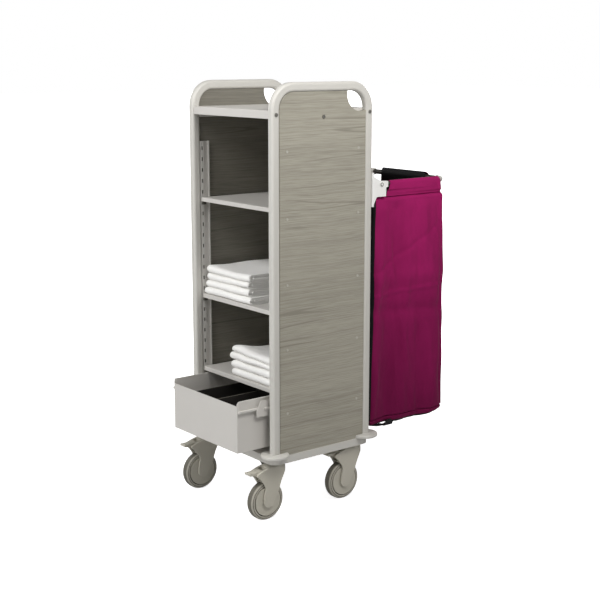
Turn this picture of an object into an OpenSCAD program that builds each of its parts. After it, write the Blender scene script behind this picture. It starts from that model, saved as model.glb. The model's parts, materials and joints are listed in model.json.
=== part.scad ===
// Linen trolley: two tube side frames with laminate panels, a top tray, three adjustable
// shelves, a compartment drawer on telescopic runners, braked castors and a folding bag holder.
// The floor is z = 0, the open shelf side faces -Y and the bag hangs on the +Y side.

/* [Side frames] */
// Outer width across the two side frames
frame_w = 444; // [400:2:520]
// Outer depth of one side frame
frame_d = 390; // [360:2:440]
// Height of the side frames above the floor
frame_h = 1340; // [1320:5:1400]
// Frame tube size across the trolley
tube_t = 25; // [22:1:28]
// Frame tube size in the plane of the frame
tube_d = 28; // [24:1:32]
// Rounding of the frame tube's edges
tube_r = 8; // [4:0.5:9]
// Wall of the frame tube
tube_wall = 2; // [1.5:0.5:3]
// Outer radius of the frame's upper corners
corner_r = 80; // [60:5:100]

/* [Panels] */
// Thickness of a side panel
panel_t = 14; // [10:1:16]
// Step from the tube's outer face in to the side panel
panel_step = 3; // [2:0.5:4]
// Thickness of the back panel
back_t = 8; // [6:1:10]
// Radius of the hand hole beside the upper rear corner
handle_r = 54; // [45:1:58]
// Hand hole centre, down from the frame's top
handle_drop = 37; // [30:1:45]
// Hand hole centre, in from the frame's rear
handle_in = 49; // [44:1:55]

/* [Base and bumpers] */
// Underside of the base above the floor
base_z = 180; // [178:1:190]
// Height of the base
base_h = 24; // [20:1:30]
// How far the base stands out before the frames
base_lip = 2; // [0:0.5:5]
// Radius of the base's corners
base_r = 30; // [20:1:40]
// Wall of the base's skirt
base_wall = 2.5; // [2:0.5:4]
// Radius of a corner bumper
bumper_r = 44; // [38:1:50]
// Height of a corner bumper
bumper_h = 10; // [8:1:14]
// Edge rounding of a corner bumper
bumper_edge = 3; // [1:0.5:4]

/* [Top tray] */
// Top of the tray below the frame's top
tray_drop = 81; // [75:1:100]
// Height of the tray's edge
tray_h = 24; // [18:1:30]
// How far the tray's front edge lies behind the frame's front
tray_in = 4; // [2:1:10]
// Thickness of the sheet metal
sheet = 1.5; // [1:0.5:2.5]
// Rounding of folded sheet edges
fold_r = 2.5; // [2:0.5:4]

/* [Shelves] */
// Height of a shelf's edge
shelf_h = 13; // [10:1:20]
// How far a shelf's front lies behind the frame's front
shelf_in = 30; // [28:1:36]
// Spacing of the slots in the uprights
slot_pitch = 35; // [30:1:40]
// Lowest slot above the floor
slot_z = 251; // [245:1:260]
// Top of an upright below the tray's edge
upright_drop = 86.5; // [60:0.5:100]
// Slot that carries the lower shelf
lower_slot = 4; // [4:1:6]
// Slot that carries the middle shelf
middle_slot = 11; // [9:1:13]
// Slot that carries the upper shelf
upper_slot = 20; // [18:1:23]
// Width of an upright
upright_w = 34; // [30:1:36]
// Thickness of an upright
upright_t = 7; // [5:1:8]
// Width of the groove down an upright
groove_w = 17; // [14:1:18]
// Middle of the slots, in from the upright's edge at the post
slot_in = 7; // [6:0.5:8]
// Width of a slot
slot_w = 6; // [4:1:6]
// Height of a slot
slot_h = 12; // [8:1:16]

/* [Drawer] */
// Side of the drawer box, in from the frame's side
drawer_in = 46; // [46:1:60]
// Length of the drawer box
drawer_l = 340; // [320:2:345]
// Underside of the drawer above the base
drawer_lift = 26; // [18:1:30]
// Height of the drawer's front
drawer_front_h = 148; // [120:1:150]
// Height of the drawer's sides
drawer_side_h = 162; // [155:1:164]
// Wall of the drawer
drawer_wall = 2; // [1.5:0.5:3]
// How far the drawer stands out of the frame at rest
drawer_out = 104; // [60:2:140]
// Radius of the upper front corners of the drawer's sides
drawer_r = 13; // [8:1:14]
// Height of the rail on a drawer's side
rail_h = 39; // [34:1:42]
// Height of the lip that runs in a slide
lip_h = 6; // [5:0.5:8]
// Middle of the runners above the drawer's underside
runner_up = 130; // [126:1:134]

/* [Castors] */
// Radius of a wheel
wheel_r = 62.5; // [58:0.5:63]
// Width of a tyre
wheel_w = 30; // [26:1:32]
// Radius of the rim inside the tyre
rim_r = 50; // [46:1:52]
// Radius of the wheel's smooth cover
cover_r = 47; // [38:1:47]
// How far the axle lies before the swivel axis
trail = 45; // [40:1:50]
// Castor's swivel axis, in from the frame's side
castor_in_x = 40; // [36:1:50]
// Castor's swivel axis, in from the frame's front or rear
castor_in_y = 40.5; // [36:0.5:50]
// Radius of the fork's round top
fork_r = 23; // [21:1:25]
// Thickness of a fork leg
leg_t = 5; // [4:0.5:6]
// Radius of the castor's stem
stem_r = 8; // [6:0.5:9]
// Radius of the wheel's axle
axle_r = 5; // [4:0.5:6]
// Width of the brake pedal
pedal_w = 27; // [22:1:28]
// Reach of the brake pedal before the swivel axis
pedal_reach = 112; // [105:1:118]

/* [Bag holder] */
// Middle of an arm, in from the frame's side
arm_in = 44; // [44:1:60]
// Radius of the arm tube
arm_r = 8.5; // [7:0.5:9]
// Middle of the arms below the frame's top
arm_drop = 325; // [300:5:360]
// Pivot of the arms behind the frame
pivot_back = 63; // [55:1:70]
// Rear bar of the holder behind the frame
bar_back = 346; // [330:2:360]
// Bend radius of the holder's corners
bend_r = 20; // [16:1:26]
// Thickness of a bracket
bracket_t = 7; // [5:0.5:9]
// Height of a bracket
bracket_h = 107; // [100:1:115]
// How far a bracket stands up above the arm
bracket_up = 42; // [36:1:48]

/* [Bag] */
// Front of the bag behind the frame
bag_gap = 37; // [34:1:45]
// Depth of the bag's body
bag_d = 318; // [300:2:320]
// Bottom of the bag above the floor
bag_z = 217; // [205:1:260]
// Height of the band that wraps the arms
band_h = 50; // [40:1:60]
// Length of the band on an arm
band_l = 234; // [200:2:236]
// Gap from an arm's middle to the band on the rear bar
rear_band_gap = 67; // [40:1:80]
// Wall of the bag
bag_wall = 3; // [2:0.5:5]

/* [Linen] */
// Width of a folded towel
towel_w = 240; // [200:5:250]
// Depth of a folded towel
towel_d = 262; // [220:2:280]
// Thickness of a folded towel
towel_t = 23.5; // [20:0.5:24]
// Towels in a stack
towel_count = 4; // [2:1:5]

/* [Hidden] */
$fn = 64;
hull_fn = 32;

// Clearances
seat_gap = 0.3;
slide_gap = 0.5;
fit_gap = 0.05;
cut = 1;

// Colours
frame_colour = [0.80, 0.79, 0.76];
laminate_colour = [0.60, 0.58, 0.53];
sheet_colour = [0.78, 0.77, 0.74];
castor_colour = [0.56, 0.55, 0.51];
tyre_colour = [0.48, 0.47, 0.44];
steel_colour = [0.70, 0.70, 0.68];
bracket_colour = [0.94, 0.94, 0.93];
tube_colour = [0.22, 0.21, 0.20];
bag_colour = [0.50, 0.10, 0.30];
linen_colour = [0.96, 0.96, 0.95];

// Side frames
post_x = (frame_w - tube_t) / 2;
post_y = (frame_d - tube_d) / 2;
inner_x = frame_w / 2 - tube_t;
inner_y = frame_d / 2 - tube_d;
base_top = base_z + base_h;
bend_z = frame_h - corner_r;
panel_out_x = frame_w / 2 - panel_step;
panel_in_x = panel_out_x - panel_t;
panel_top = frame_h - tube_d;
handle_y = frame_d / 2 - handle_in;
handle_z = frame_h - handle_drop;
back_y = inner_y + (tube_d - back_t) / 2;

// Tray, uprights and shelves
tray_z = frame_h - tray_drop;
tray_bottom = tray_z - tray_h;
tray_front = -frame_d / 2 + tray_in;
upright_x = panel_in_x - upright_t;
upright_y = inner_y - upright_w / 2;
upright_bottom = slot_z - slot_pitch / 2;
upright_top = tray_bottom - upright_drop;
slot_count = floor((upright_top - upright_bottom) / slot_pitch);
groove_t = 3;
groove_in = 13;
slot_y = inner_y - slot_in;
clip_w = 12;
clip_reach = 10;
clip_h = 10;
shelf_front = -frame_d / 2 + shelf_in;
shelf_back_gap = 5;
shelf_back = back_y - shelf_back_gap;
shelf_x = upright_x - slide_gap;
function clip_top(slot) = slot_z + slot * slot_pitch + clip_h / 2;
function shelf_top(slot) = clip_top(slot) + shelf_h;

// Fasteners
screw_r = 2.5;
screw_head_r = 5.5;
screw_head_h = 2.5;
socket_r = 1.9;
socket_deep = 1.6;
tray_screw_reach = 6;
screw_up = (tray_z + tray_bottom) / 2;
panel_screw_up = tray_bottom + 2;
tab_drop = 10;
rivet_r = 2;
rivet_head_r = 4;
rivet_head_h = 1.4;
rivet_count = 5;
rivet_up = 104.5;
rivet_down = 10.5;
rivet_in = 6;
rivet_z = upright_bottom + rivet_up;
rivet_pitch = (upright_top - rivet_down - rivet_z) / (rivet_count - 1);
rivet_y = upright_y - upright_w / 2 + rivet_in;

// Drawer, measured at rest with the drawer standing out
drawer_w = frame_w - 2 * drawer_in;
drawer_z = base_top + drawer_lift;
drawer_front = -frame_d / 2 - drawer_out;
drawer_edge_r = 4;
divider_t = 2;
divider_drop = 3;
runner_z = drawer_z + runner_up;
rail_top = drawer_z + drawer_side_h;
rail_t = 2.5;
rail_in = 3;
channel_lip = 6;
slide_web_t = 2.4;
slide_web_h = 49;
slide_chamfer = [15, 28];
slide_l = 328;
slide_start = drawer_front + drawer_out / 2 + 13;
fixed_rail_l = 2 * (inner_y - 2);
rail_x0 = drawer_w / 2 + rail_t;
slide_x0 = rail_x0 + 9.1;
slide_x1 = slide_x0 + slide_web_t;
fixed_x0 = slide_x1 + slide_gap;

// Castors
castor_x = frame_w / 2 - castor_in_x;
castor_y = frame_d / 2 - castor_in_y;
stem_flange_r = 21;
stem_flange_h = 5;
fork_top = base_z - stem_flange_h - seat_gap;
stem_bottom = fork_top - 24;
stem_top = base_top - 5;
pad_r = 32;
leg_gap = 3.2;
leg_in = wheel_w / 2 + leg_gap;
leg_out = leg_in + leg_t;
crown_z = 2 * wheel_r + 4;
leg_round = 5;
leg_end_r = 19;
hood_tip = [-90, 152];
hood_r = 9;
crown_h = 6;
tyre_gap = 4;
axle_in = 3;
axle_end_gap = 0.2;
pedal_pivot_y = -64;
pedal_pivot_z = 156;
pedal_pin_r = 3;
pedal_pin_in = 2;
pedal_back_y = -48;
pedal_lip_r = 3;
tyre_shoulder = 11;

// Bag holder and bag, in trolley coordinates
arm_x = frame_w / 2 - arm_in;
arm_z = frame_h - arm_drop;
pivot_y = frame_d / 2 + pivot_back;
bar_y = frame_d / 2 + bar_back;
boss_r = 12;
boss_x0 = arm_x - arm_r;
web_x0 = arm_x + arm_r + 2;
web_x1 = web_x0 + bracket_t;
boss_x1 = web_x0 - seat_gap;
pin_r = 4;
pin_head_r = 7;
pin_head_h = 2.5;
pad_t = 7;
bracket_top = arm_z + bracket_up;
bracket_bottom = bracket_top - bracket_h;
elbow_r = arm_r + 3;
elbow_leg = 2;
rear_band_l = 2 * (arm_x - rear_band_gap);
bag_y0 = frame_d / 2 + bag_gap;
bag_y1 = bag_y0 + bag_d;
band_wall = 2;
bag_x = arm_x + arm_r;
band_top = arm_z + arm_r + band_wall;
band_bottom = band_top - band_h;
band_y1 = bar_y - bend_r - elbow_leg - seat_gap;
bag_edge_r = 14;

// Linen
towel_side_gap = 8;
towel_front_gap = 5;

// The part's origin is at the middle of its box, on the floor
part_mid_y = (drawer_front + bar_y + elbow_r) / 2;

module in_part_frame() {
    translate([0, -part_mid_y, 0]) children();
}

// Puts a shape drawn for the right side on the given side, -1 for the left
module on_side(side) {
    if (side < 0) {
        mirror([1, 0, 0]) children();
    } else {
        children();
    }
}

// Lays a flat outline drawn as (y, z) across the trolley, from x0 outwards
module across(x0, length) {
    translate([x0, 0, 0]) rotate([90, 0, 90]) linear_extrude(length) children();
}

// A rod along X from x0
module rod_x(x0, length, y, z, r) {
    translate([x0, y, z]) rotate([0, 90, 0]) cylinder(h = length, r = r);
}

// A rod along Y from y0
module rod_y(x, y0, length, z, r) {
    translate([x, y0, z]) rotate([-90, 0, 0]) cylinder(h = length, r = r);
}

module rounded_rect(w, d, r) {
    square([w - 2 * r, d], center = true);
    square([w, d - 2 * r], center = true);
    for (x = [-1, 1], y = [-1, 1]) {
        translate([x * (w / 2 - r), y * (d / 2 - r)]) circle(r);
    }
}

// A rectangle from y0 to y1 and z0 to z1 whose two upper corners are round
module arched(y0, y1, z0, z1, r) {
    translate([y0, z0]) square([y1 - y0, z1 - z0 - r]);
    translate([y0 + r, z0]) square([y1 - y0 - 2 * r, z1 - z0]);
    for (y = [y0 + r, y1 - r]) {
        translate([y, z1 - r]) circle(r);
    }
}

// A disc with round edges, standing on its own plane
module soft_disc(r, h, edge) {
    rotate_extrude() {
        square([r - edge, h]);
        translate([0, edge]) square([r, h - 2 * edge]);
        translate([r - edge, edge]) circle(edge);
        translate([r - edge, h - edge]) circle(edge);
    }
}

// ---- Side frames and panels ----

// One bent tube: two posts, two round corners and the top, of the given section
module hoop(w, d, r, below) {
    for (side = [-1, 1]) {
        translate([post_x, side * post_y, base_top - below])
            linear_extrude(bend_z - base_top + below) rounded_rect(w, d, r);
    }
    for (flip = [0, 1]) {
        mirror([0, flip, 0]) translate([post_x, frame_d / 2 - corner_r, bend_z])
            rotate([90, 0, 90]) rotate_extrude(angle = 90)
                translate([corner_r - tube_d / 2, 0]) rounded_rect(d, w, r);
    }
    translate([post_x, corner_r - frame_d / 2, frame_h - tube_d / 2]) rotate([-90, 0, 0])
        linear_extrude(frame_d - 2 * corner_r) rounded_rect(w, d, r);
}

// Screws through the posts into the tray's flanges
module tray_screws(r, x0, x1) {
    for (y = [-post_y, post_y]) {
        rod_x(x0, x1 - x0, y, screw_up, r);
    }
}

module side_frame(side) {
    color(frame_colour) in_part_frame() on_side(side) difference() {
        hoop(tube_t, tube_d, tube_r, 0);
        hoop(tube_t - 2 * tube_wall, tube_d - 2 * tube_wall, tube_r - tube_wall, cut);
        tray_screws(screw_r + seat_gap, inner_x - cut, frame_w / 2 + cut);
    }
}

// Holes or shanks of the rivets that hold the uprights to the panel
module rivet_shanks(r, x0, x1) {
    for (y = [-rivet_y, rivet_y], k = [0 : rivet_count - 1]) {
        rod_x(x0, x1 - x0, y, rivet_z + k * rivet_pitch, r);
    }
}

module side_panel(side) {
    color(laminate_colour) in_part_frame() on_side(side) difference() {
        across(panel_in_x, panel_t) difference() {
            arched(-inner_y, inner_y, base_top, panel_top, corner_r - tube_d);
            translate([handle_y, handle_z]) circle(handle_r);
        }
        rivet_shanks(rivet_r + seat_gap, panel_in_x - cut, panel_out_x + cut);
        rod_x(panel_in_x - cut, panel_t + 2 * cut, 0, panel_screw_up, screw_r + seat_gap);
    }
}

module back_panel() {
    color(laminate_colour) in_part_frame()
        translate([seat_gap - inner_x, back_y, base_top])
            cube([2 * (inner_x - seat_gap), back_t, tray_bottom - base_top]);
}

module frame_screws() {
    color(steel_colour) in_part_frame() for (side = [-1, 1]) on_side(side) {
        tray_screws(screw_r, inner_x - tray_screw_reach, frame_w / 2);
        difference() {
            tray_screws(screw_head_r, frame_w / 2, frame_w / 2 + screw_head_h);
            tray_screws(socket_r, frame_w / 2 + screw_head_h - socket_deep,
                        frame_w / 2 + screw_head_h + cut, $fn = 6);
        }
        rod_x(panel_in_x - tray_screw_reach, panel_t + tray_screw_reach, 0, panel_screw_up, screw_r);
        difference() {
            rod_x(panel_out_x, screw_head_h, 0, panel_screw_up, screw_head_r);
            rod_x(panel_out_x + screw_head_h - socket_deep, socket_deep + cut, 0, panel_screw_up,
                  socket_r, $fn = 6);
        }
    }
}

module panel_rivets() {
    color(steel_colour) in_part_frame() for (side = [-1, 1]) on_side(side) {
        rivet_shanks(rivet_r, upright_x + groove_t + seat_gap, panel_out_x);
        rivet_shanks(rivet_head_r, panel_out_x, panel_out_x + rivet_head_h);
    }
}

// ---- Base and bumpers ----

module base_frame() {
    color(frame_colour) in_part_frame() difference() {
        union() {
            difference() {
                translate([0, 0, base_z]) linear_extrude(base_h)
                    rounded_rect(frame_w, frame_d + 2 * base_lip, base_r);
                translate([0, 0, base_z - cut]) linear_extrude(base_h - base_wall + cut)
                    rounded_rect(frame_w - 2 * base_wall, frame_d + 2 * (base_lip - base_wall),
                                 base_r - base_wall);
            }
            for (x = [-castor_x, castor_x], y = [-castor_y, castor_y]) {
                translate([x, y, base_z]) cylinder(h = base_h - base_wall / 2, r = pad_r);
            }
        }
        for (x = [-castor_x, castor_x], y = [-castor_y, castor_y]) {
            translate([x, y, base_z - cut])
                cylinder(h = stem_top - base_z + 2 * cut, r = stem_r + fit_gap);
        }
    }
}

// A ring round the foot of a post, cut where the side panel passes and, at the rear, inside
// the panels
module bumper(side, end) {
    color(frame_colour) in_part_frame() on_side(side) difference() {
        translate([post_x, end * post_y, base_top]) soft_disc(bumper_r, bumper_h, bumper_edge);
        translate([post_x, end * post_y, base_top - cut]) linear_extrude(bumper_h + 2 * cut)
            rounded_rect(tube_t + 2 * seat_gap, tube_d + 2 * seat_gap, tube_r + seat_gap);
        translate([panel_in_x - seat_gap, -inner_y - cut, base_top - cut])
            cube([panel_t + 2 * seat_gap, 2 * (inner_y + cut), bumper_h + 2 * cut]);
        if (end > 0) {
            translate([-inner_x, -inner_y, base_top - cut])
                cube([2 * inner_x, inner_y + back_y + back_t + seat_gap, bumper_h + 2 * cut]);
        }
    }
}

// ---- Tray, shelves and uprights ----

// A folded sheet lid of the given half width, open below
module folded_sheet(x, y0, y1, top, h) {
    difference() {
        across(-x, 2 * x) arched(y0, y1, top - h, top, fold_r);
        translate([sheet - x, y0 + sheet, top - h - cut])
            cube([2 * (x - sheet), y1 - y0 - 2 * sheet, h - sheet + cut]);
    }
}

module top_tray() {
    back = back_y + back_t;
    color(sheet_colour) in_part_frame() difference() {
        union() {
            folded_sheet(inner_x - seat_gap, tray_front, back, tray_z, tray_h);
            for (side = [0, 1]) mirror([side, 0, 0]) {
                translate([inner_x - sheet - seat_gap, seat_gap - inner_y, tray_bottom - tab_drop])
                    cube([panel_in_x - inner_x + sheet, 2 * (inner_y - seat_gap), tray_h + tab_drop]);
            }
        }
        for (side = [0, 1]) mirror([side, 0, 0]) {
            tray_screws(screw_r + seat_gap, inner_x - sheet - cut, inner_x + cut);
            rod_x(inner_x - sheet - cut, panel_in_x - inner_x + sheet + 2 * cut, 0,
                  panel_screw_up, screw_r + seat_gap);
        }
    }
}

module shelf(slot) {
    color(sheet_colour) in_part_frame()
        folded_sheet(shelf_x, shelf_front, shelf_back, shelf_top(slot), shelf_h);
}

// A channel of folded sheet, open to the panel, with a groove and a row of slots in its face
module upright(side, end) {
    height = upright_top - upright_bottom;
    color(sheet_colour) in_part_frame() on_side(side) mirror([0, (1 - end) / 2, 0]) difference() {
        translate([upright_x, inner_y - upright_w, upright_bottom]) cube([upright_t, upright_w, height]);
        translate([upright_x + sheet, inner_y - groove_in + sheet, upright_bottom - cut])
            cube([upright_t, groove_in - 2 * sheet, height + 2 * cut]);
        translate([upright_x - cut, inner_y - groove_in - groove_w, upright_bottom - cut])
            cube([groove_t + cut, groove_w, height + 2 * cut]);
        translate([upright_x + groove_t + sheet, inner_y - upright_w + sheet, upright_bottom - cut])
            cube([upright_t, upright_w - 2 * sheet, height + 2 * cut]);
        for (k = [0 : slot_count - 1]) {
            translate([upright_x - cut, slot_y - slot_w / 2, slot_z + k * slot_pitch - slot_h / 2])
                cube([sheet + 2 * cut, slot_w, slot_h]);
        }
        rivet_shanks(rivet_r + seat_gap, upright_x, panel_in_x + cut);
    }
}

// A shelf clip: a ledge before the upright with a tongue that hooks into its slot
module clip(end, slot) {
    top = clip_top(slot);
    tongue_w = slot_w - 2 * slide_gap;
    translate([upright_x - clip_reach, end * slot_y - clip_w / 2, top - clip_h])
        cube([clip_reach - seat_gap / 3, clip_w, clip_h]);
    translate([upright_x - clip_reach, end * slot_y - tongue_w / 2, top - clip_h + cut])
        cube([clip_reach + sheet + cut, tongue_w, clip_h - 2 * cut]);
}

module shelf_clips() {
    color(steel_colour) in_part_frame() for (side = [-1, 1]) on_side(side) {
        for (end = [-1, 1], slot = [lower_slot, middle_slot, upper_slot]) {
            clip(end, slot);
        }
    }
}

// ---- Drawer and runners ----

// A channel that opens inwards: a web with a flange above and below the lip that runs in it
module channel(x0, x_web, web_t, y0, length, web_h) {
    translate([x_web, y0, runner_z - web_h / 2]) cube([web_t, length, web_h]);
    for (z = [runner_z + lip_h / 2 + slide_gap, runner_z - lip_h / 2 - slide_gap - channel_lip]) {
        translate([x0, y0, z]) cube([x_web - x0, length, channel_lip]);
    }
}

module drawer_rails() {
    web_x = upright_x - rail_in + slide_gap;
    web_t = upright_x - seat_gap / 3 - web_x;
    color(steel_colour) in_part_frame() for (side = [-1, 1]) on_side(side) {
        channel(fixed_x0, web_x, web_t, -fixed_rail_l / 2, fixed_rail_l,
                2 * channel_lip + lip_h + 2 * slide_gap);
    }
}

module drawer_slides() {
    outer_lip = upright_x - rail_in - slide_x1;
    web_z = runner_z - slide_web_h / 2;
    slide_end = slide_start + slide_l;
    color(sheet_colour) in_part_frame() for (side = [-1, 1]) on_side(side) {
        across(slide_x0, slide_web_t) polygon([
            [slide_start, web_z], [slide_end, web_z], [slide_end, web_z + slide_web_h],
            [slide_start + slide_chamfer[0], web_z + slide_web_h],
            [slide_start, web_z + slide_web_h - slide_chamfer[1]]]);
        channel(rail_x0 + 2 * slide_gap, slide_x0, 1, slide_start + 2 * drawer_r,
                slide_l - 2 * drawer_r, 2 * channel_lip + lip_h + 2 * slide_gap);
        translate([slide_x1 - sheet, slide_start + 2 * drawer_r, runner_z - lip_h / 2])
            cube([outer_lip + sheet, slide_l - 2 * drawer_r, lip_h]);
    }
}

module drawer_box() {
    front_cut = drawer_z + drawer_front_h;
    depth_cut = drawer_l - 2 * drawer_wall;
    top = drawer_z + drawer_side_h;
    color(sheet_colour) in_part_frame() difference() {
        intersection() {
            across(-drawer_w / 2, drawer_w) {
                translate([drawer_front, drawer_z]) square([drawer_l, drawer_side_h - drawer_r]);
                translate([drawer_front + drawer_r, drawer_z])
                    square([drawer_l - drawer_r, drawer_side_h]);
                translate([drawer_front + drawer_r, top - drawer_r]) circle(drawer_r);
            }
            translate([0, drawer_front + drawer_l / 2, drawer_z]) linear_extrude(drawer_side_h)
                rounded_rect(drawer_w, drawer_l, drawer_edge_r);
        }
        translate([drawer_wall - drawer_w / 2, drawer_front + drawer_wall, drawer_z + drawer_wall])
            cube([drawer_w - 2 * drawer_wall, depth_cut, drawer_side_h]);
        translate([drawer_wall - drawer_w / 2, drawer_front - cut, front_cut])
            cube([drawer_w - 2 * drawer_wall, drawer_wall + 2 * cut, drawer_side_h]);
    }
}

module drawer_runners() {
    color(sheet_colour) in_part_frame() for (side = [-1, 1]) on_side(side) {
        translate([drawer_w / 2, drawer_front + drawer_edge_r, rail_top - rail_h])
            cube([rail_t, drawer_l - 2 * drawer_edge_r, rail_h]);
        translate([drawer_w / 2, drawer_front + drawer_edge_r, runner_z - lip_h / 2])
            cube([slide_x0 - slide_gap - drawer_w / 2, drawer_l - 2 * drawer_edge_r, lip_h]);
    }
}

module drawer_dividers() {
    bay = drawer_w / 3;
    color(sheet_colour) in_part_frame() for (x = [-bay / 2, bay / 2]) {
        translate([x - divider_t / 2, drawer_front + drawer_wall + seat_gap, drawer_z + drawer_wall])
            cube([divider_t, drawer_l - 2 * (drawer_wall + seat_gap),
                  drawer_front_h - drawer_wall - divider_drop]);
    }
}

// ---- Castors, drawn about the swivel axis with the wheel towards -Y ----

module at_castor(side, end) {
    in_part_frame() translate([side * castor_x, end * castor_y, 0]) children();
}

module castor_stem(side, end) {
    color(steel_colour) at_castor(side, end) {
        translate([0, 0, stem_bottom]) cylinder(h = stem_top - stem_bottom, r = stem_r);
        translate([0, 0, base_z - stem_flange_h]) cylinder(h = stem_flange_h, r = stem_flange_r);
    }
}

// Side outline of the fork: a hood that slopes forward from the stem, and below it a leg that
// narrows to a round end at the axle
module fork_outline() {
    offset(r = leg_round) offset(delta = -leg_round) polygon([
        [17, fork_top], [-28, fork_top], [hood_tip[0] + 26, hood_tip[1] + 13],
        [hood_tip[0] + 3, hood_tip[1] + 5], hood_tip, [-72, crown_z + 6], [-60, crown_z - 12],
        [-57, crown_z - 26], [-60, wheel_r + 30], [-trail - leg_end_r, wheel_r + 8],
        [-trail - leg_end_r, wheel_r], [-trail + leg_end_r, wheel_r - 2],
        [-trail + leg_end_r + 12, wheel_r + 16], [-6, wheel_r + 36], [3, crown_z - 6],
        [11, crown_z + 10], [17, crown_z + 24]]);
    translate([-trail, wheel_r]) circle(leg_end_r);
}

// Front outline of the fork: straight cheeks under a rounded top
module fork_front() {
    arched(-leg_out, leg_out, 0, fork_top, hood_r);
}

module fork(side, end) {
    color(castor_colour) at_castor(side, end) difference() {
        union() {
            intersection() {
                across(-leg_out, 2 * leg_out) fork_outline();
                rotate([90, 0, 0]) translate([0, 0, -frame_d / 2]) linear_extrude(frame_d)
                    fork_front();
            }
            translate([0, 0, fork_top - crown_h]) cylinder(h = crown_h, r = fork_r);
        }
        rod_x(-leg_in, 2 * leg_in, -trail, wheel_r, wheel_r + tyre_gap);
        translate([0, 0, stem_bottom - seat_gap])
            cylinder(h = fork_top - stem_bottom + cut, r = stem_r + fit_gap);
        translate([-pedal_w / 2 - slide_gap, -pedal_reach, crown_z - cut])
            cube([pedal_w + 2 * slide_gap, pedal_reach + pedal_back_y, fork_top - crown_z + 2 * cut]);
        rod_x(-leg_in - axle_in, 2 * (leg_in + axle_in), -trail, wheel_r, axle_r + fit_gap);
    }
    color(castor_colour) at_castor(side, end)
        rod_x(-pedal_w / 2 - pedal_pin_in, pedal_w + 2 * pedal_pin_in, pedal_pivot_y, pedal_pivot_z,
              pedal_pin_r);
}

module axle(side, end) {
    color(steel_colour) at_castor(side, end)
        rod_x(axle_end_gap - leg_in - axle_in, 2 * (leg_in + axle_in - axle_end_gap), -trail,
              wheel_r, axle_r);
}

module wheel(side, end) {
    cover_t = 2;
    web_t = 8;
    hub_r = 14;
    color(castor_colour) at_castor(side, end) difference() {
        union() {
            rod_x(1 - wheel_w / 2, wheel_w - 2, -trail, wheel_r, rim_r - fit_gap);
            rod_x(-leg_in + 1, 2 * leg_in - 2, -trail, wheel_r, hub_r);
            for (x = [-wheel_w / 2 - 1, wheel_w / 2 - cover_t + 1]) {
                rod_x(x, cover_t, -trail, wheel_r, cover_r);
            }
        }
        rod_x(-leg_in, 2 * leg_in, -trail, wheel_r, axle_r + fit_gap);
        for (x = [-wheel_w / 2, wheel_w / 2 - web_t / 2]) {
            translate([x, -trail, wheel_r]) rotate([0, 90, 0]) difference() {
                cylinder(h = web_t / 2, r = rim_r);
                translate([0, 0, -cut]) cylinder(h = web_t / 2 + 2 * cut, r = cover_r);
            }
        }
    }
}

module tyre(side, end) {
    color(tyre_colour) at_castor(side, end) translate([0, -trail, wheel_r]) rotate([0, 90, 0])
        rotate_extrude() intersection() {
            translate([rim_r, -wheel_w / 2]) square([wheel_r - rim_r, wheel_w]);
            union() {
                translate([0, tyre_shoulder - wheel_w / 2]) square([wheel_r, wheel_w - 2 * tyre_shoulder]);
                for (y = [-1, 1]) {
                    translate([wheel_r - tyre_shoulder, y * (wheel_w / 2 - tyre_shoulder)])
                        circle(tyre_shoulder);
                }
            }
        }
}

// Pedal outline: a hub round the pin and a blade that ends in a raised lip
module pedal_outline() {
    hull() {
        translate([pedal_pivot_y, pedal_pivot_z]) circle(r = 8, $fn = hull_fn);
        translate([pedal_lip_r - pedal_reach, pedal_pivot_z + 2]) circle(r = pedal_lip_r, $fn = hull_fn);
    }
    hull() {
        translate([pedal_lip_r - pedal_reach, pedal_pivot_z + 4]) circle(r = pedal_lip_r, $fn = hull_fn);
        translate([pedal_lip_r - pedal_reach + 6, pedal_pivot_z + 2])
            circle(r = pedal_lip_r, $fn = hull_fn);
    }
}

module pedal(side, end) {
    color(castor_colour) at_castor(side, end) difference() {
        across(-pedal_w / 2, pedal_w) pedal_outline();
        rod_x(-pedal_w, 2 * pedal_w, pedal_pivot_y, pedal_pivot_z, pedal_pin_r + fit_gap);
    }
}

// ---- Bag holder and bag ----

module bag_bracket(side) {
    y0 = frame_d / 2;
    web_end = pivot_y + 28;
    color(bracket_colour) in_part_frame() on_side(side) difference() {
        union() {
            translate([web_x0, y0, bracket_bottom])
                cube([frame_w / 2 - web_x0, pad_t, bracket_h]);
            across(web_x0, bracket_t) polygon([
                [y0, bracket_bottom], [y0 + 29, bracket_bottom], [y0 + 43, bracket_bottom + 26],
                [web_end - 9, bracket_bottom + 26], [web_end - 8, arm_z - 10], [web_end, arm_z - 10],
                [web_end, arm_z + arm_r + 1], [pivot_y - 3, arm_z + arm_r + 3], [y0, bracket_top]]);
        }
        rod_x(web_x0 - cut, bracket_t + 2 * cut, pivot_y, arm_z, pin_r + fit_gap);
        bracket_screw_rods(screw_r + seat_gap, y0 - cut, pad_t + 2 * cut);
    }
}

module bracket_screw_rods(r, y0, length) {
    for (z = [bracket_bottom + 20, bracket_top - 20]) {
        rod_y(post_x, y0, length, z, r);
    }
}

module bracket_screws() {
    y0 = frame_d / 2;
    color(steel_colour) in_part_frame() for (side = [-1, 1]) on_side(side) {
        bracket_screw_rods(screw_r, y0 + seat_gap, pad_t - seat_gap);
        difference() {
            bracket_screw_rods(screw_head_r, y0 + pad_t, screw_head_h);
            bracket_screw_rods(socket_r, y0 + pad_t + screw_head_h - socket_deep,
                               socket_deep + cut, $fn = 6);
        }
    }
}

// The holder's tube path for one half, drawn with any radius, the arm starting at y0
module arm_path(r, y0) {
    rod_y(arm_x, y0, bar_y - bend_r - y0, arm_z, r);
    translate([arm_x - bend_r, bar_y - bend_r, arm_z]) rotate_extrude(angle = 90)
        translate([bend_r, 0]) circle(r);
    rod_x(0, arm_x - bend_r, bar_y, arm_z, r);
}

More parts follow.
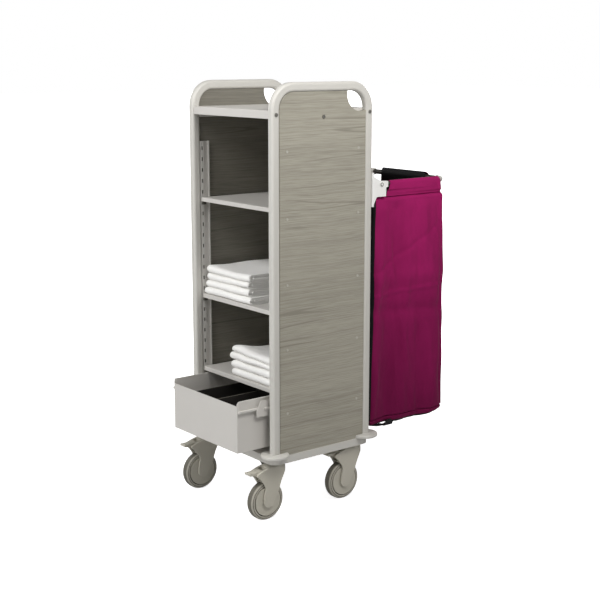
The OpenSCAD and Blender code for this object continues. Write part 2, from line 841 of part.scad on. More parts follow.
module bag_frame() {
    color(tube_colour) in_part_frame() difference() {
        union() {
            for (side = [-1, 1]) on_side(side) {
                arm_path(arm_r, pivot_y);
                rod_x(boss_x0, boss_x1 - boss_x0, pivot_y, arm_z, boss_r);
            }
        }
        for (side = [-1, 1]) on_side(side) {
            rod_x(boss_x0 - cut, 2 * boss_r + cut, pivot_y, arm_z, pin_r + fit_gap);
        }
    }
}

// Moulded elbows over the holder's rear corners
module bag_frame_elbows() {
    color(frame_colour) in_part_frame() for (side = [-1, 1]) on_side(side) difference() {
        union() {
            rod_y(arm_x, bar_y - bend_r - elbow_leg, elbow_leg, arm_z, elbow_r);
            translate([arm_x - bend_r, bar_y - bend_r, arm_z]) rotate_extrude(angle = 90)
                translate([bend_r, 0]) circle(elbow_r);
            rod_x(arm_x - bend_r - elbow_leg, elbow_leg, bar_y, arm_z, elbow_r);
        }
        arm_path(arm_r + seat_gap / 2, pivot_y);
    }
}

module bag_pivots() {
    color(steel_colour) in_part_frame() for (side = [-1, 1]) on_side(side) {
        rod_x(boss_x0 + cut, web_x1 + seat_gap - boss_x0 - cut, pivot_y, arm_z, pin_r);
        rod_x(web_x1 + seat_gap, pin_head_h, pivot_y, arm_z, pin_head_r);
    }
}

// The upper band of the bag round one tube, drawn as (distance out, z) about the tube's middle
module band_outline() {
    difference() {
        union() {
            translate([-arm_r - band_wall, band_top - 2 * (arm_r + band_wall) - arm_z])
                rounded_band(2 * (arm_r + band_wall));
            translate([arm_r - 1, band_bottom - arm_z]) square([band_wall + 1, band_h - arm_r]);
        }
        circle(arm_r + seat_gap);
    }
}

module rounded_band(size) {
    translate([size / 2, size / 2]) rounded_rect(size, size, size / 3);
}

module laundry_bag() {
    body_x = bag_x + band_wall - cut;
    color(bag_colour) in_part_frame() {
        difference() {
            translate([0, (bag_y0 + bag_y1) / 2, bag_z]) linear_extrude(band_bottom - bag_z + cut)
                rounded_rect(2 * body_x, bag_d, bag_edge_r);
            translate([0, (bag_y0 + bag_y1) / 2, bag_z + bag_wall])
                linear_extrude(band_bottom - bag_z)
                    rounded_rect(2 * (body_x - bag_wall), bag_d - 2 * bag_wall, bag_edge_r - bag_wall);
        }
        for (side = [-1, 1]) on_side(side) {
            translate([arm_x, band_y1, arm_z]) rotate([90, 0, 0]) linear_extrude(band_l)
                band_outline();
        }
        translate([-rear_band_l / 2, bar_y, arm_z]) rotate([90, 0, 90])
            linear_extrude(rear_band_l) band_outline();
    }
}

// ---- Linen ----

// A stack of folded towels, with a round fold on the front and rear of each
module towel_stack(x0, floor_z) {
    r = towel_t / 2;
    across(x0, towel_w) for (k = [0 : towel_count - 1]) {
        translate([shelf_front + towel_front_gap, floor_z + k * towel_t]) {
            translate([r, 0]) square([towel_d - 2 * r, towel_t]);
            translate([r, r]) circle(r);
            translate([towel_d - r, r]) circle(r);
        }
    }
}

module towels_middle() {
    color(linen_colour) in_part_frame() towel_stack(towel_side_gap - shelf_x, shelf_top(middle_slot));
}

module towels_lower() {
    color(linen_colour) in_part_frame()
        towel_stack(shelf_x - towel_side_gap - towel_w, shelf_top(lower_slot));
}

base_frame();
bumper(-1, -1);  // bumper_front_left
bumper(1, -1);  // bumper_front_right
bumper(-1, 1);  // bumper_rear_left
bumper(1, 1);  // bumper_rear_right
side_frame(-1);  // side_frame_left
side_frame(1);  // side_frame_right
side_panel(-1);  // side_panel_left
side_panel(1);  // side_panel_right
back_panel();
top_tray();
shelf(upper_slot);  // shelf_upper
shelf(middle_slot);  // shelf_middle
shelf(lower_slot);  // shelf_lower
upright(-1, -1);  // upright_front_left
upright(1, -1);  // upright_front_right
upright(-1, 1);  // upright_rear_left
upright(1, 1);  // upright_rear_right
shelf_clips();
frame_screws();
panel_rivets();
drawer_rails();
drawer_slides();
drawer_box();
drawer_runners();
drawer_dividers();
castor_stem(-1, -1);  // castor_stem_front_left
castor_stem(1, -1);  // castor_stem_front_right
castor_stem(-1, 1);  // castor_stem_rear_left
castor_stem(1, 1);  // castor_stem_rear_right
fork(-1, -1);  // fork_front_left
fork(1, -1);  // fork_front_right
fork(-1, 1);  // fork_rear_left
fork(1, 1);  // fork_rear_right
axle(-1, -1);  // axle_front_left
axle(1, -1);  // axle_front_right
axle(-1, 1);  // axle_rear_left
axle(1, 1);  // axle_rear_right
wheel(-1, -1);  // wheel_front_left
wheel(1, -1);  // wheel_front_right
wheel(-1, 1);  // wheel_rear_left
wheel(1, 1);  // wheel_rear_right
tyre(-1, -1);  // tyre_front_left
tyre(1, -1);  // tyre_front_right
tyre(-1, 1);  // tyre_rear_left
tyre(1, 1);  // tyre_rear_right
pedal(-1, -1);  // pedal_front_left
pedal(1, -1);  // pedal_front_right
pedal(-1, 1);  // pedal_rear_left
pedal(1, 1);  // pedal_rear_right
bag_bracket(-1);  // bag_bracket_left
bag_bracket(1);  // bag_bracket_right
bracket_screws();
bag_frame();
bag_frame_elbows();
bag_pivots();
laundry_bag();
towels_middle();
towels_lower();
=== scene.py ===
"""Looks of the linen trolley: powder-coated tube, wood-grain laminate, moulded castors, a sewn
laundry bag and folded towels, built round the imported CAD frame. Lengths are in metres."""

import json

import bpy
import numpy as np
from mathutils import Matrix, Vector
from mathutils.bvhtree import BVHTree


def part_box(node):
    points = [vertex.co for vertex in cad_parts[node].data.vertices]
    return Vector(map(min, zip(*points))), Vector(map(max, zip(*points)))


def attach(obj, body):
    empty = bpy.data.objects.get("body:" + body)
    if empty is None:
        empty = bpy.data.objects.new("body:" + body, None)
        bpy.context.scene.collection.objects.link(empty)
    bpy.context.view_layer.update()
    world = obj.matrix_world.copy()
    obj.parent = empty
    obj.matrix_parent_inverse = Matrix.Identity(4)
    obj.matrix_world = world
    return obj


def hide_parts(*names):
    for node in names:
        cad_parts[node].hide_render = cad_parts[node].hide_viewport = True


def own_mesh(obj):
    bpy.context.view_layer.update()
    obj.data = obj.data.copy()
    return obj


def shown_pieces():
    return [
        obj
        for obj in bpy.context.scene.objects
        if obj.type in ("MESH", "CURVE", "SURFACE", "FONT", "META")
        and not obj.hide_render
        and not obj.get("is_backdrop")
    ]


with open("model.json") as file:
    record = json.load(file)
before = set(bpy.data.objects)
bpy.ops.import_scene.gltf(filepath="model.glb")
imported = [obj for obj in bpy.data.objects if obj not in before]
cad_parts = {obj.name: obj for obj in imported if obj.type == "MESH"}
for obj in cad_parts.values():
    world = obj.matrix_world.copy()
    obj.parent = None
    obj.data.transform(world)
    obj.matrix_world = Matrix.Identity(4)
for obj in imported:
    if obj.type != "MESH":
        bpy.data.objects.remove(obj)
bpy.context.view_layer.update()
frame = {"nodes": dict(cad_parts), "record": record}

# ---- Image points: x, y in the photograph's 600 by 600 frame ----

IMAGE_W, IMAGE_H = 600, 600
IMAGE_POINTS = {
    "object_left_x": 171.5,
    "object_right_x": 444.5,
    "object_top_y": 79.5,
    "object_bottom_y": 519.0,
    "screw_front": (276.5, 114.5),
    "screw_panel": (324.5, 117.0),
    "screw_rear": (369.5, 111.5),
    "rivet_top_front": (288.5, 152.5),
    "rivet_low_rear": (356.0, 397.5),
    "upper_shelf_corner": (200.0, 198.0),
    "lower_shelf_corner": (203.0, 366.5),
    "drawer_top_corner": (174.0, 382.0),
    "drawer_low_corner": (237.0, 454.0),
    "pivot_screw": (380.5, 184.5),
    "band_seam_front": (386.5, 196.5),
    "band_seam_rear": (442.0, 188.5),
    "bag_low_corner": (369.5, 424.5),
    "strap_foot": (387.0, 424.5),
}

# ---- Camera ----

CAMERA_PLACE = Vector((3.0986, -2.4798, 1.4167))
CAMERA_TURN = np.radians(51.84)
CAMERA_DOWN = np.radians(11.26)
LENS_MM = 73.71
SENSOR_MM = 36.0
CLIP_END = 100
RAY_SPAN = (2.5, 5.5)  # distances from the camera between which the whole trolley lies
RAY_STEPS = 301


def make_camera():
    """A camera without roll, turned to the photograph's side of the trolley and tipped down."""
    data = bpy.data.cameras.new("camera")
    data.sensor_fit = "AUTO"
    data.sensor_width = SENSOR_MM
    data.lens = LENS_MM
    data.clip_end = CLIP_END
    camera = bpy.data.objects.new("camera", data)
    camera.location = CAMERA_PLACE
    camera.rotation_euler = (np.pi / 2 - CAMERA_DOWN, 0, CAMERA_TURN)
    bpy.context.scene.collection.objects.link(camera)
    bpy.context.scene.camera = camera
    bpy.context.view_layer.update()
    return camera


camera = make_camera()


def seen_at(places):
    """Image x, y of places: each place in the camera's axes over its depth, times the lens."""
    back = np.array(camera.matrix_world.inverted())
    local = np.array(places) @ back[:3, :3].T + back[:3, 3]
    long_side = max(IMAGE_W, IMAGE_H)
    scale = long_side * LENS_MM / SENSOR_MM / -local[:, 2]
    x = IMAGE_W / 2 + local[:, 0] * scale - camera.data.shift_x * long_side
    y = IMAGE_H / 2 - local[:, 1] * scale + camera.data.shift_y * long_side
    return np.stack([x, y], axis=1)


def on_surface(name, tree):
    """Where the ray through a named image point meets the tree, or the place nearest that ray."""
    x, y = IMAGE_POINTS[name]
    long_side = max(IMAGE_W, IMAGE_H)
    shift_x, shift_y = camera.data.shift_x, camera.data.shift_y
    local = Vector((x - IMAGE_W / 2 + shift_x * long_side, IMAGE_H / 2 - y + shift_y * long_side,
                    -long_side * LENS_MM / SENSOR_MM))
    away = (camera.matrix_world.to_3x3() @ local).normalized()
    start = camera.matrix_world.translation
    hit = tree.ray_cast(start, away)[0]
    if hit is not None:
        return hit
    steps = np.linspace(*RAY_SPAN, RAY_STEPS)
    near = [tree.find_nearest(start + away * float(t)) for t in steps]
    return min((n for n in near if n[0] is not None), key=lambda n: n[3])[0]


# ---- Mesh tools ----


def new_piece(name, vertices, faces, uv=None, face_slots=None, materials=(), smooth=True):
    """A mesh object at the origin. uv holds one u, v for each corner of each face, in order."""
    mesh = bpy.data.meshes.new(name)
    mesh.from_pydata(vertices.reshape(-1, 3).tolist(), [], faces.tolist())
    if uv is not None:
        layer = mesh.uv_layers.new(name="cloth")
        layer.data.foreach_set("uv", uv.reshape(-1).astype(np.float32))
    for material in materials:
        mesh.materials.append(material)
    if face_slots is not None:
        mesh.polygons.foreach_set("material_index", face_slots.reshape(-1).astype(np.int32))
    mesh.polygons.foreach_set("use_smooth", np.full(len(faces), smooth))
    mesh.update()
    piece = bpy.data.objects.new(name, mesh)
    bpy.context.scene.collection.objects.link(piece)
    return piece


def grid_faces(rows, columns, wrap=False):
    """Quads of a rows by columns grid, joined from the last column to the first if it wraps."""
    across = columns if wrap else columns - 1
    r, c = np.meshgrid(np.arange(rows - 1), np.arange(across), indexing="ij")
    after = (c + 1) % columns
    quads = [r * columns + c, r * columns + after, (r + 1) * columns + after, (r + 1) * columns + c]
    return np.stack(quads, -1).reshape(-1, 4)


def grid_uv(u, v, wrap_u=None):
    """Corner u, v of a grid whose rows lie at v and columns at u, both in metres, in the order of
    grid_faces; wrap_u is u at the end of the last column of a grid that wraps."""
    edges = np.append(u, wrap_u) if wrap_u is not None else u
    u0, v0 = np.meshgrid(edges[:-1], v[:-1])
    u1, v1 = np.meshgrid(edges[1:], v[1:])
    corners = [(u0, v0), (u1, v0), (u1, v1), (u0, v1)]
    return np.stack([np.stack(c, -1) for c in corners], -2).reshape(-1, 2)


def lengths_along(points):
    """Distance along a polyline from its first point to each of its points."""
    steps = np.linalg.norm(np.diff(points, axis=0), axis=1)
    return np.concatenate([[0], np.cumsum(steps)])


def evenly(points, count):
    """count points spaced evenly along a polyline."""
    at = lengths_along(points)
    wanted = np.linspace(0, at[-1], count)
    return np.stack([np.interp(wanted, at, points[:, k]) for k in range(points.shape[1])], -1)


def smoothstep(low, high, x):
    """0 below low, 1 above high, and a smooth rise between."""
    t = np.clip((x - low) / (high - low), 0, 1)
    return t * t * (3 - 2 * t)


def bell(distance, width):
    """1 in the middle, falling on both sides to about a third at this width and then to 0."""
    return np.exp(-((distance / width) ** 2))


def arc(centre, radius, first, last, count):
    """count points on a circle in a plane, from angle first to last in degrees."""
    a = np.radians(np.linspace(first, last, count))
    return np.stack([centre[0] + radius * np.cos(a), centre[1] + radius * np.sin(a)], -1)


def thicken(piece, thickness, offset=-1, lining=False):
    """Gives a cloth its thickness; the lining is the piece's second material."""
    mod = piece.modifiers.new("thickness", "SOLIDIFY")
    mod.thickness = thickness
    mod.offset = offset
    mod.use_even_offset = True
    mod.use_quality_normals = True
    if lining:
        mod.material_offset = 1


def tree_of(*pieces):
    """A search tree over finished pieces, as they will be rendered."""
    graph = bpy.context.evaluated_depsgraph_get()
    vertices, faces = [], []
    for piece in pieces:
        mesh = piece.evaluated_get(graph).to_mesh()
        base = len(vertices)
        vertices += [piece.matrix_world @ v.co for v in mesh.vertices]
        faces += [[base + i for i in p.vertices] for p in mesh.polygons]
    return BVHTree.FromPolygons(vertices, faces)


def finished_vertices(piece):
    """Every vertex of a piece, as it will be rendered, in the scene's axes."""
    mesh = piece.evaluated_get(bpy.context.evaluated_depsgraph_get()).to_mesh()
    flat = np.empty(len(mesh.vertices) * 3)
    mesh.vertices.foreach_get("co", flat)
    turn = np.array(piece.matrix_world)
    return flat.reshape(-1, 3) @ turn[:3, :3].T + turn[:3, 3]


# ---- Shader tools ----


def colour(r, g, b):
    """Linear RGBA of a colour given in 0 to 255 as it looks on screen."""
    c = np.array([r, g, b]) / 255
    linear = np.where(c <= 0.04045, c / 12.92, ((c + 0.055) / 1.055) ** 2.4)
    return (*linear.tolist(), 1.0)


class Nodes:
    """Short ways to add and join nodes in one tree. Operands are plain values or sockets."""

    def __init__(self, tree):
        self.tree = tree

    def add(self, kind, **settings):
        """A new node of this kind with these settings."""
        node = self.tree.nodes.new(kind)
        for key, value in settings.items():
            setattr(node, key, value)
        return node

    def join(self, out, into):
        """A link from one socket to another."""
        self.tree.links.new(out, into)

    def feed(self, socket, value):
        """Sets a socket to a plain value or joins another socket to it."""
        if isinstance(value, (int, float, tuple)):
            socket.default_value = value
        else:
            self.join(value, socket)

    def give(self, node, **values):
        """Feeds a node's inputs by name, an underscore standing for a space; gives its outputs."""
        for label, value in values.items():
            self.feed(node.inputs[label.replace("_", " ")], value)
        return node.outputs

    def math(self, operation, *operands):
        """One operation on up to three operands."""
        node = self.add("ShaderNodeMath", operation=operation)
        for socket, operand in zip(node.inputs, operands):
            self.feed(socket, operand)
        return node.outputs[0]

    def plus(self, a, b):
        """a and b together."""
        return self.math("ADD", a, b)

    def minus(self, a, b):
        """a less b."""
        return self.math("SUBTRACT", a, b)

    def times(self, a, b, extra=0.0):
        """a times b, and extra on top."""
        return self.math("MULTIPLY_ADD", a, b, extra)

    def mix(self, factor, a, b):
        """Colour a where factor is 0, b where it is 1."""
        node = self.add("ShaderNodeMix", data_type="RGBA")
        for k, value in ((0, factor), (6, a), (7, b)):
            self.feed(node.inputs[k], value)
        return node.outputs[2]

    def noise(self, vector, scale, detail, roughness):
        """Noise at one scale, or at its own scale along each axis where scale is three numbers."""
        if isinstance(scale, tuple):
            vector = self.give(self.add("ShaderNodeMapping"), Vector=vector, Scale=scale)[0]
            scale = 1.0
        outputs = self.give(self.add("ShaderNodeTexNoise"), Vector=vector, Scale=scale,
                            Detail=detail, Roughness=roughness)
        return outputs["Fac"]

    def ramp(self, value, low, high):
        """0 below low, 1 above high, and a smooth rise between."""
        node = self.add("ShaderNodeMapRange", interpolation_type="SMOOTHSTEP")
        return self.give(node, Value=value, From_Min=low, From_Max=high)["Result"]

    def split(self, vector):
        """The X, Y and Z of a vector."""
        return self.give(self.add("ShaderNodeSeparateXYZ"), Vector=vector)

    def scaled(self, vector, factor):
        """A vector or colour times one factor."""
        node = self.add("ShaderNodeVectorMath", operation="SCALE")
        return self.give(node, Vector=vector, Scale=factor)[0]


def new_group(name, inputs, outputs=("Colour", "Height")):
    """A shader node group; returns its Nodes, the sockets it is given and those it puts out. Each
    input comes with its value where none is set: a colour has four parts, a value is one number.
    Of the outputs, the one named Colour is a colour."""
    kinds = {True: "NodeSocketColor", False: "NodeSocketFloat"}
    tree = bpy.data.node_groups.new(name, "ShaderNodeTree")
    for label, default in inputs.items():
        kind = kinds[isinstance(default, tuple)]
        socket = tree.interface.new_socket(name=label, in_out="INPUT", socket_type=kind)
        socket.default_value = default
    for label in outputs:
        kind = kinds[label == "Colour"]
        tree.interface.new_socket(name=label, in_out="OUTPUT", socket_type=kind)
    nodes = Nodes(tree)
    return nodes, nodes.add("NodeGroupInput").outputs, nodes.add("NodeGroupOutput").inputs


GREY = (0.5, 0.5, 0.5, 1)


def object_place(nodes):
    """The shading point in the object's own coordinates."""
    return nodes.add("ShaderNodeTexCoord").outputs["Object"]


def make_coat_group():
    """Fine orange peel of powder coat or moulded plastic, with faint clouds and handling marks."""
    nodes, given, out = new_group(
        "coat_surface", {"Colour": GREY, "Peel size": 900.0, "Roughness": 0.5, "Clouds": 0.06},
        ("Colour", "Roughness", "Height"))
    place = object_place(nodes)
    clouds = nodes.noise(place, 7.0, 4.0, 0.6)
    streaks = nodes.noise(place, (18, 18, 5), 3.0, 0.7)
    peel = nodes.noise(place, given["Peel size"], 1.0, 0.5)
    shade = nodes.times(nodes.minus(clouds, 0.5), given["Clouds"], 0.97)
    rough = nodes.times(nodes.minus(streaks, 0.5), 0.22, given["Roughness"])
    nodes.join(nodes.scaled(given["Colour"], shade), out["Colour"])
    nodes.join(rough, out["Roughness"])
    nodes.join(peel, out["Height"])
    return nodes.tree


# Noise scale on each axis, detail, roughness, the ramp's ends and the layer's weight.
GRAIN_LAYERS = [((1.1, 1.1, 20), 2.0, 0.5, 0.28, 0.72, 0.20),  # figure
                ((1.4, 1.4, 420), 3.0, 0.7, 0.34, 0.66, 0.44),  # lines
                ((14, 14, 1000), 1.0, 0.5, 0.40, 0.60, 0.38)]  # pores


def make_grain_group():
    """Level wood grain. Noise squeezed thin in height and bent by slow waves gives broad figure,
    fine lines and pores; here and there the level lines of a smoother squeezed noise show as long
    dark streaks. Faces inside the cabinet, found by their place, are darkened by painted shade."""
    nodes, given, out = new_group(
        "wood_grain",
        {"Light": GREY, "Dark": GREY, "Inner shade": 1.0, "Inner x": 0.0, "Inner y": 0.0})
    place = object_place(nodes)
    bend = nodes.noise(place, (2.0, 2.0, 3.0), 2.0, 0.5)
    parts = nodes.split(place)
    height = nodes.plus(parts["Z"], nodes.times(bend, 0.030))
    bent = nodes.give(nodes.add("ShaderNodeCombineXYZ"), X=parts["X"], Y=parts["Y"], Z=height)[0]
    mask = 0.0
    for scale, detail, roughness, low, high, weight in GRAIN_LAYERS:
        layer = nodes.ramp(nodes.noise(bent, scale, detail, roughness), low, high)
        mask = nodes.plus(mask, nodes.times(layer, weight))
    slow = nodes.noise(bent, (0.5, 0.5, 16), 1.0, 0.5)
    ring = nodes.math("ABSOLUTE", nodes.math("SINE", nodes.times(slow, 12.0)))
    patch = nodes.ramp(nodes.noise(place, (2.0, 2.0, 9.0), 2.0, 0.5), 0.46, 0.58)
    streak = nodes.times(nodes.minus(1.0, nodes.ramp(ring, 0.0, 0.15)), patch)
    mask = nodes.minus(mask, nodes.times(streak, 0.80))
    mixed = nodes.mix(mask, given["Dark"], given["Light"])
    # Painted shade: within the side panels and in front of the back panel the colour is darkened.
    inside = nodes.math("LESS_THAN", nodes.math("ABSOLUTE", parts["X"]), given["Inner x"])
    before = nodes.math("LESS_THAN", parts["Y"], given["Inner y"])
    fall = nodes.minus(given["Inner shade"], 1.0)
    shade = nodes.times(nodes.times(inside, before), fall, 1.0)
    nodes.join(nodes.scaled(mixed, shade), out["Colour"])
    nodes.join(mask, out["Height"])
    return nodes.tree


def make_ring_group():
    """Two tones told apart by the distance from an axle that runs along X: the outer tone past the
    radius Outer, the inner one within it, and a dark stripe at the last radius it is given: on a
    tyre or a pivot head a joint, on a wheel painted shade in its groove."""
    nodes, given, out = new_group(
        "wheel_rings",
        {"Inner tone": GREY, "Outer tone": GREY, "Axle y": 0.0, "Axle z": 0.0, "Outer": 0.0,
         "Joint": 0.0, "Joint width": 0.0})
    parts = nodes.split(object_place(nodes))
    y = nodes.minus(parts["Y"], given["Axle y"])
    z = nodes.minus(parts["Z"], given["Axle z"])
    square = nodes.plus(nodes.times(y, y), nodes.times(z, z))
    radius = nodes.math("SQRT", square)
    tone = nodes.mix(nodes.math("GREATER_THAN", radius, given["Outer"]),
                     given["Inner tone"], given["Outer tone"])
    away = nodes.math("ABSOLUTE", nodes.minus(radius, given["Joint"]))
    line = nodes.math("LESS_THAN", away, given["Joint width"])
    nodes.join(nodes.mix(line, tone, (0.03, 0.028, 0.022, 1)), out["Colour"])
    nodes.join(nodes.minus(1.0, line), out["Height"])
    return nodes.tree


def make_weave_group():
    """Plain weave on the cloth's own u, v in metres: two crossed sine waves, over and under, with
    slubs in the yarn and soft clouds of tone. Below a height painted shade darkens the colour,
    evenly more down to the foot."""
    nodes, given, out = new_group(
        "plain_weave",
        {"Pitch": 0.001, "Colour": GREY, "Shade": 0.2, "Clouds": 0.05, "Foot z": 0.0,
         "Fade height": 1.0, "Foot shade": 1.0})
    cloth = nodes.split(nodes.add("ShaderNodeUVMap", uv_map="cloth").outputs[0])
    waves = []
    for axis in ("X", "Y"):
        turns = nodes.math("DIVIDE", cloth[axis], given["Pitch"])
        waves.append(nodes.math("SINE", nodes.times(turns, 2 * np.pi)))
    weave = nodes.times(nodes.times(*waves), 0.5, 0.5)
    place = object_place(nodes)
    slubs = nodes.noise(place, (60, 60, 14), 3.0, 0.6)
    gaps = nodes.minus(1.0, nodes.times(weave, slubs))
    darker = nodes.times(gaps, given["Shade"])
    clouds = nodes.noise(place, (9, 9, 4.5), 3.0, 0.55)
    tone = nodes.times(nodes.minus(clouds, 0.5), given["Clouds"])
    shade = nodes.plus(nodes.minus(1.06, darker), tone)
    # Painted shade: below a height the colour darkens evenly down to the foot.
    above = nodes.minus(nodes.split(place)["Z"], given["Foot z"])
    rise = nodes.math("DIVIDE", above, given["Fade height"])
    short = nodes.minus(1.0, nodes.math("MINIMUM", nodes.math("MAXIMUM", rise, 0.0), 1.0))
    loss = nodes.times(short, nodes.minus(1.0, given["Foot shade"]))
    shade = nodes.times(shade, nodes.minus(1.0, loss))
    nodes.join(nodes.scaled(given["Colour"], shade), out["Colour"])
    nodes.join(weave, out["Height"])
    return nodes.tree


COAT = make_coat_group()
GRAIN = make_grain_group()
RINGS = make_ring_group()
WEAVE = make_weave_group()


def new_material(name):
    """A material with only a Principled shader; returns it, its Nodes and the shader."""
    material = bpy.data.materials.new(name)
    material.use_nodes = True
    nodes = Nodes(material.node_tree)
    shader = material.node_tree.nodes["Principled BSDF"]
    return material, nodes, shader


def add_bump(nodes, shader, height, strength, distance):
    """Relief from a height between 0 and 1 that stands for this distance."""
    bump = nodes.add("ShaderNodeBump")
    nodes.give(bump, Strength=strength, Distance=distance, Height=height)
    nodes.join(bump.outputs[0], shader.inputs["Normal"])


def use_group(nodes, tree, **values):
    """The outputs of a group node given these values."""
    return nodes.give(nodes.add("ShaderNodeGroup", node_tree=tree), **values)


def coated(name, rgb, roughness, peel=900.0, depth=0.00006, clouds=0.06, metallic=0.0):
    """Powder coat, plastic, rubber or plated steel, told apart by colour, gloss and peel."""
    material, nodes, shader = new_material(name)
    coat = use_group(nodes, COAT, Colour=colour(*rgb), Peel_size=peel, Roughness=roughness,
                     Clouds=clouds)
    nodes.give(shader, Base_Color=coat["Colour"], Roughness=coat["Roughness"], Metallic=metallic)
    add_bump(nodes, shader, coat["Height"], 0.5, depth)
    return material


def ringed(name, node, inner, outer, edge, joint, stripe_width):
    """Moulded wheel or tyre with its rings placed round the middle of its CAD node's box."""
    material, nodes, shader = new_material(name)
    low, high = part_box(node)
    rings = use_group(nodes, RINGS, Inner_tone=colour(*inner), Outer_tone=colour(*outer),
                      Axle_y=(low.y + high.y) / 2, Axle_z=(low.z + high.z) / 2, Outer=edge,
                      Joint=joint, Joint_width=stripe_width)
    coat = use_group(nodes, COAT, Colour=rings["Colour"], Roughness=0.58, Clouds=0.12)
    nodes.give(shader, Base_Color=coat["Colour"], Roughness=coat["Roughness"],
               Specular_IOR_Level=0.4)
    add_bump(nodes, shader, rings["Height"], 0.6, 0.0006)
    return material


# Height of a painted highlight along a top edge.
PAINTED_HIGHLIGHT_H = 0.0006


def edged(name, rgb, highlight_rgb, edge_z, roughness):
    """Moulded plastic sheet with a painted highlight, paler, along its top edge above the height
    edge_z.
    """
    material, nodes, shader = new_material(name)
    # Painted highlight: the colour turns paler toward the top edge.
    painted_highlight = nodes.ramp(nodes.split(object_place(nodes))["Z"], edge_z - PAINTED_HIGHLIGHT_H, edge_z)
    tone = nodes.mix(painted_highlight, colour(*rgb), colour(*highlight_rgb))
    coat = use_group(nodes, COAT, Colour=tone, Roughness=roughness, Clouds=0.1)
    nodes.give(shader, Base_Color=coat["Colour"], Roughness=coat["Roughness"])
    add_bump(nodes, shader, coat["Height"], 0.5, 0.00006)
    return material


def laminate(name, light, dark, painted_inner_shade):
    """Matt wood-grain laminate on panels; faces inside the cabinet are darkened by painted shade.
    """
    material, nodes, shader = new_material(name)
    side_low, side_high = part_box("side_panel_right")
    back_low, back_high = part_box("back_panel")
    grain = use_group(nodes, GRAIN, Light=colour(*light), Dark=colour(*dark),
                      Inner_shade=painted_inner_shade, Inner_x=(side_low.x + side_high.x) / 2,
                      Inner_y=(back_low.y + back_high.y) / 2)
    nodes.give(shader, Base_Color=grain["Colour"], Roughness=0.55, Specular_IOR_Level=0.35)
    add_bump(nodes, shader, grain["Height"], 0.35, 0.0003)
    return material


def woven(name, rgb, pitch, depth, sheen, roughness, shade, clouds=0.05, specular=0.3,
          painted_shade=(0.0, 1.0, 1.0), glow=0.0):
    """Cloth or webbing: plain weave of this pitch, with slubs, and a soft sheen. Its painted shade
    is given as a foot height, the height to full tone and the shade at the foot; its glow is
    painted light, a faint light of the cloth's own colour."""
    material, nodes, shader = new_material(name)
    weave = use_group(nodes, WEAVE, Pitch=pitch, Colour=colour(*rgb), Shade=shade, Clouds=clouds,
                      Foot_z=painted_shade[0], Fade_height=painted_shade[1], Foot_shade=painted_shade[2])
    # Painted light: the cloth gives off a faint light of its own colour, lifting its shaded parts.
    if glow:
        nodes.give(shader, Emission_Color=weave["Colour"], Emission_Strength=glow)
    nodes.give(shader, Base_Color=weave["Colour"], Roughness=roughness, Sheen_Weight=sheen,
               Specular_IOR_Level=specular, Sheen_Roughness=0.4)
    add_bump(nodes, shader, weave["Height"], 0.4, depth)
    return material


bag_low, bag_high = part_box("laundry_bag")
COATS = {
    "frame_paint": dict(rgb=(208, 206, 200), roughness=0.42),
    "sheet_paint": dict(rgb=(211, 208, 203), roughness=0.45, peel=1100.0),
    "castor_plastic": dict(rgb=(197, 193, 180), roughness=0.5, peel=1500.0, depth=0.00004,
                           clouds=0.1),
    "steel": dict(rgb=(120, 118, 112), roughness=0.35, peel=400.0, depth=0.00003, clouds=0.15,
                  metallic=0.8),
    "zinc": dict(rgb=(205, 204, 200), roughness=0.4, peel=400.0, depth=0.00003, clouds=0.1,
                 metallic=0.3),
    "bracket_plastic": dict(rgb=(251, 251, 249), roughness=0.4),
    "dark_tube": dict(rgb=(62, 58, 53), roughness=0.4),
    "rivet_head": dict(rgb=(186, 183, 174), roughness=0.45),
}
CLOTHS = {
    # The bag's fabric takes painted shade that darkens it toward its foot.
    "bag_fabric": dict(rgb=(174, 34, 106), pitch=0.0009, depth=0.00015, sheen=0.03, roughness=0.8,
                       shade=0.22, clouds=0.40, specular=0.08,
                       painted_shade=(bag_low.z, bag_high.z - bag_low.z, 0.42)),
    "bag_lining": dict(rgb=(10, 9, 11), pitch=0.0009, depth=0.00012, sheen=0.0, roughness=0.7,
                       shade=0.3),
    # The towels' glow is painted light that lifts them in the shelves' shade.
    "linen": dict(rgb=(247, 246, 243), pitch=0.0022, depth=0.0006, sheen=0.3, roughness=0.9,
                  shade=0.10, glow=0.055),
    "webbing": dict(rgb=(14, 14, 16), pitch=0.0016, depth=0.0003, sheen=0.05, roughness=0.6,
                    shade=0.3),
}
MATERIALS = {name: coated(name, **look) for name, look in COATS.items()}
MATERIALS.update((name, woven(name, **look)) for name, look in CLOTHS.items())
# Its last number is the painted shade on faces inside the cabinet.
MATERIALS["laminate"] = laminate("laminate", (180, 176, 163), (143, 139, 127), 0.54)
# The dividers' top edge takes a painted highlight.
MATERIALS["divider_plastic"] = edged("divider_plastic", (34, 32, 30), (118, 114, 104),
                                     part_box("drawer_dividers")[1].z, 0.45)

CASTORS = ("front_left", "front_right", "rear_left", "rear_right")
# Painted shade: the wheel past its groove, in the gap against the tyre, is coloured dark.
WHEEL_TONE, WELL_SHADE = (194, 190, 177), (60, 57, 50)
TYRE_SIDE, TREAD_TONE = (178, 174, 162), (108, 105, 95)
WHEEL_GROOVE_R, TYRE_JOINT_R, TREAD_R = 0.0485, 0.0555, 0.0608


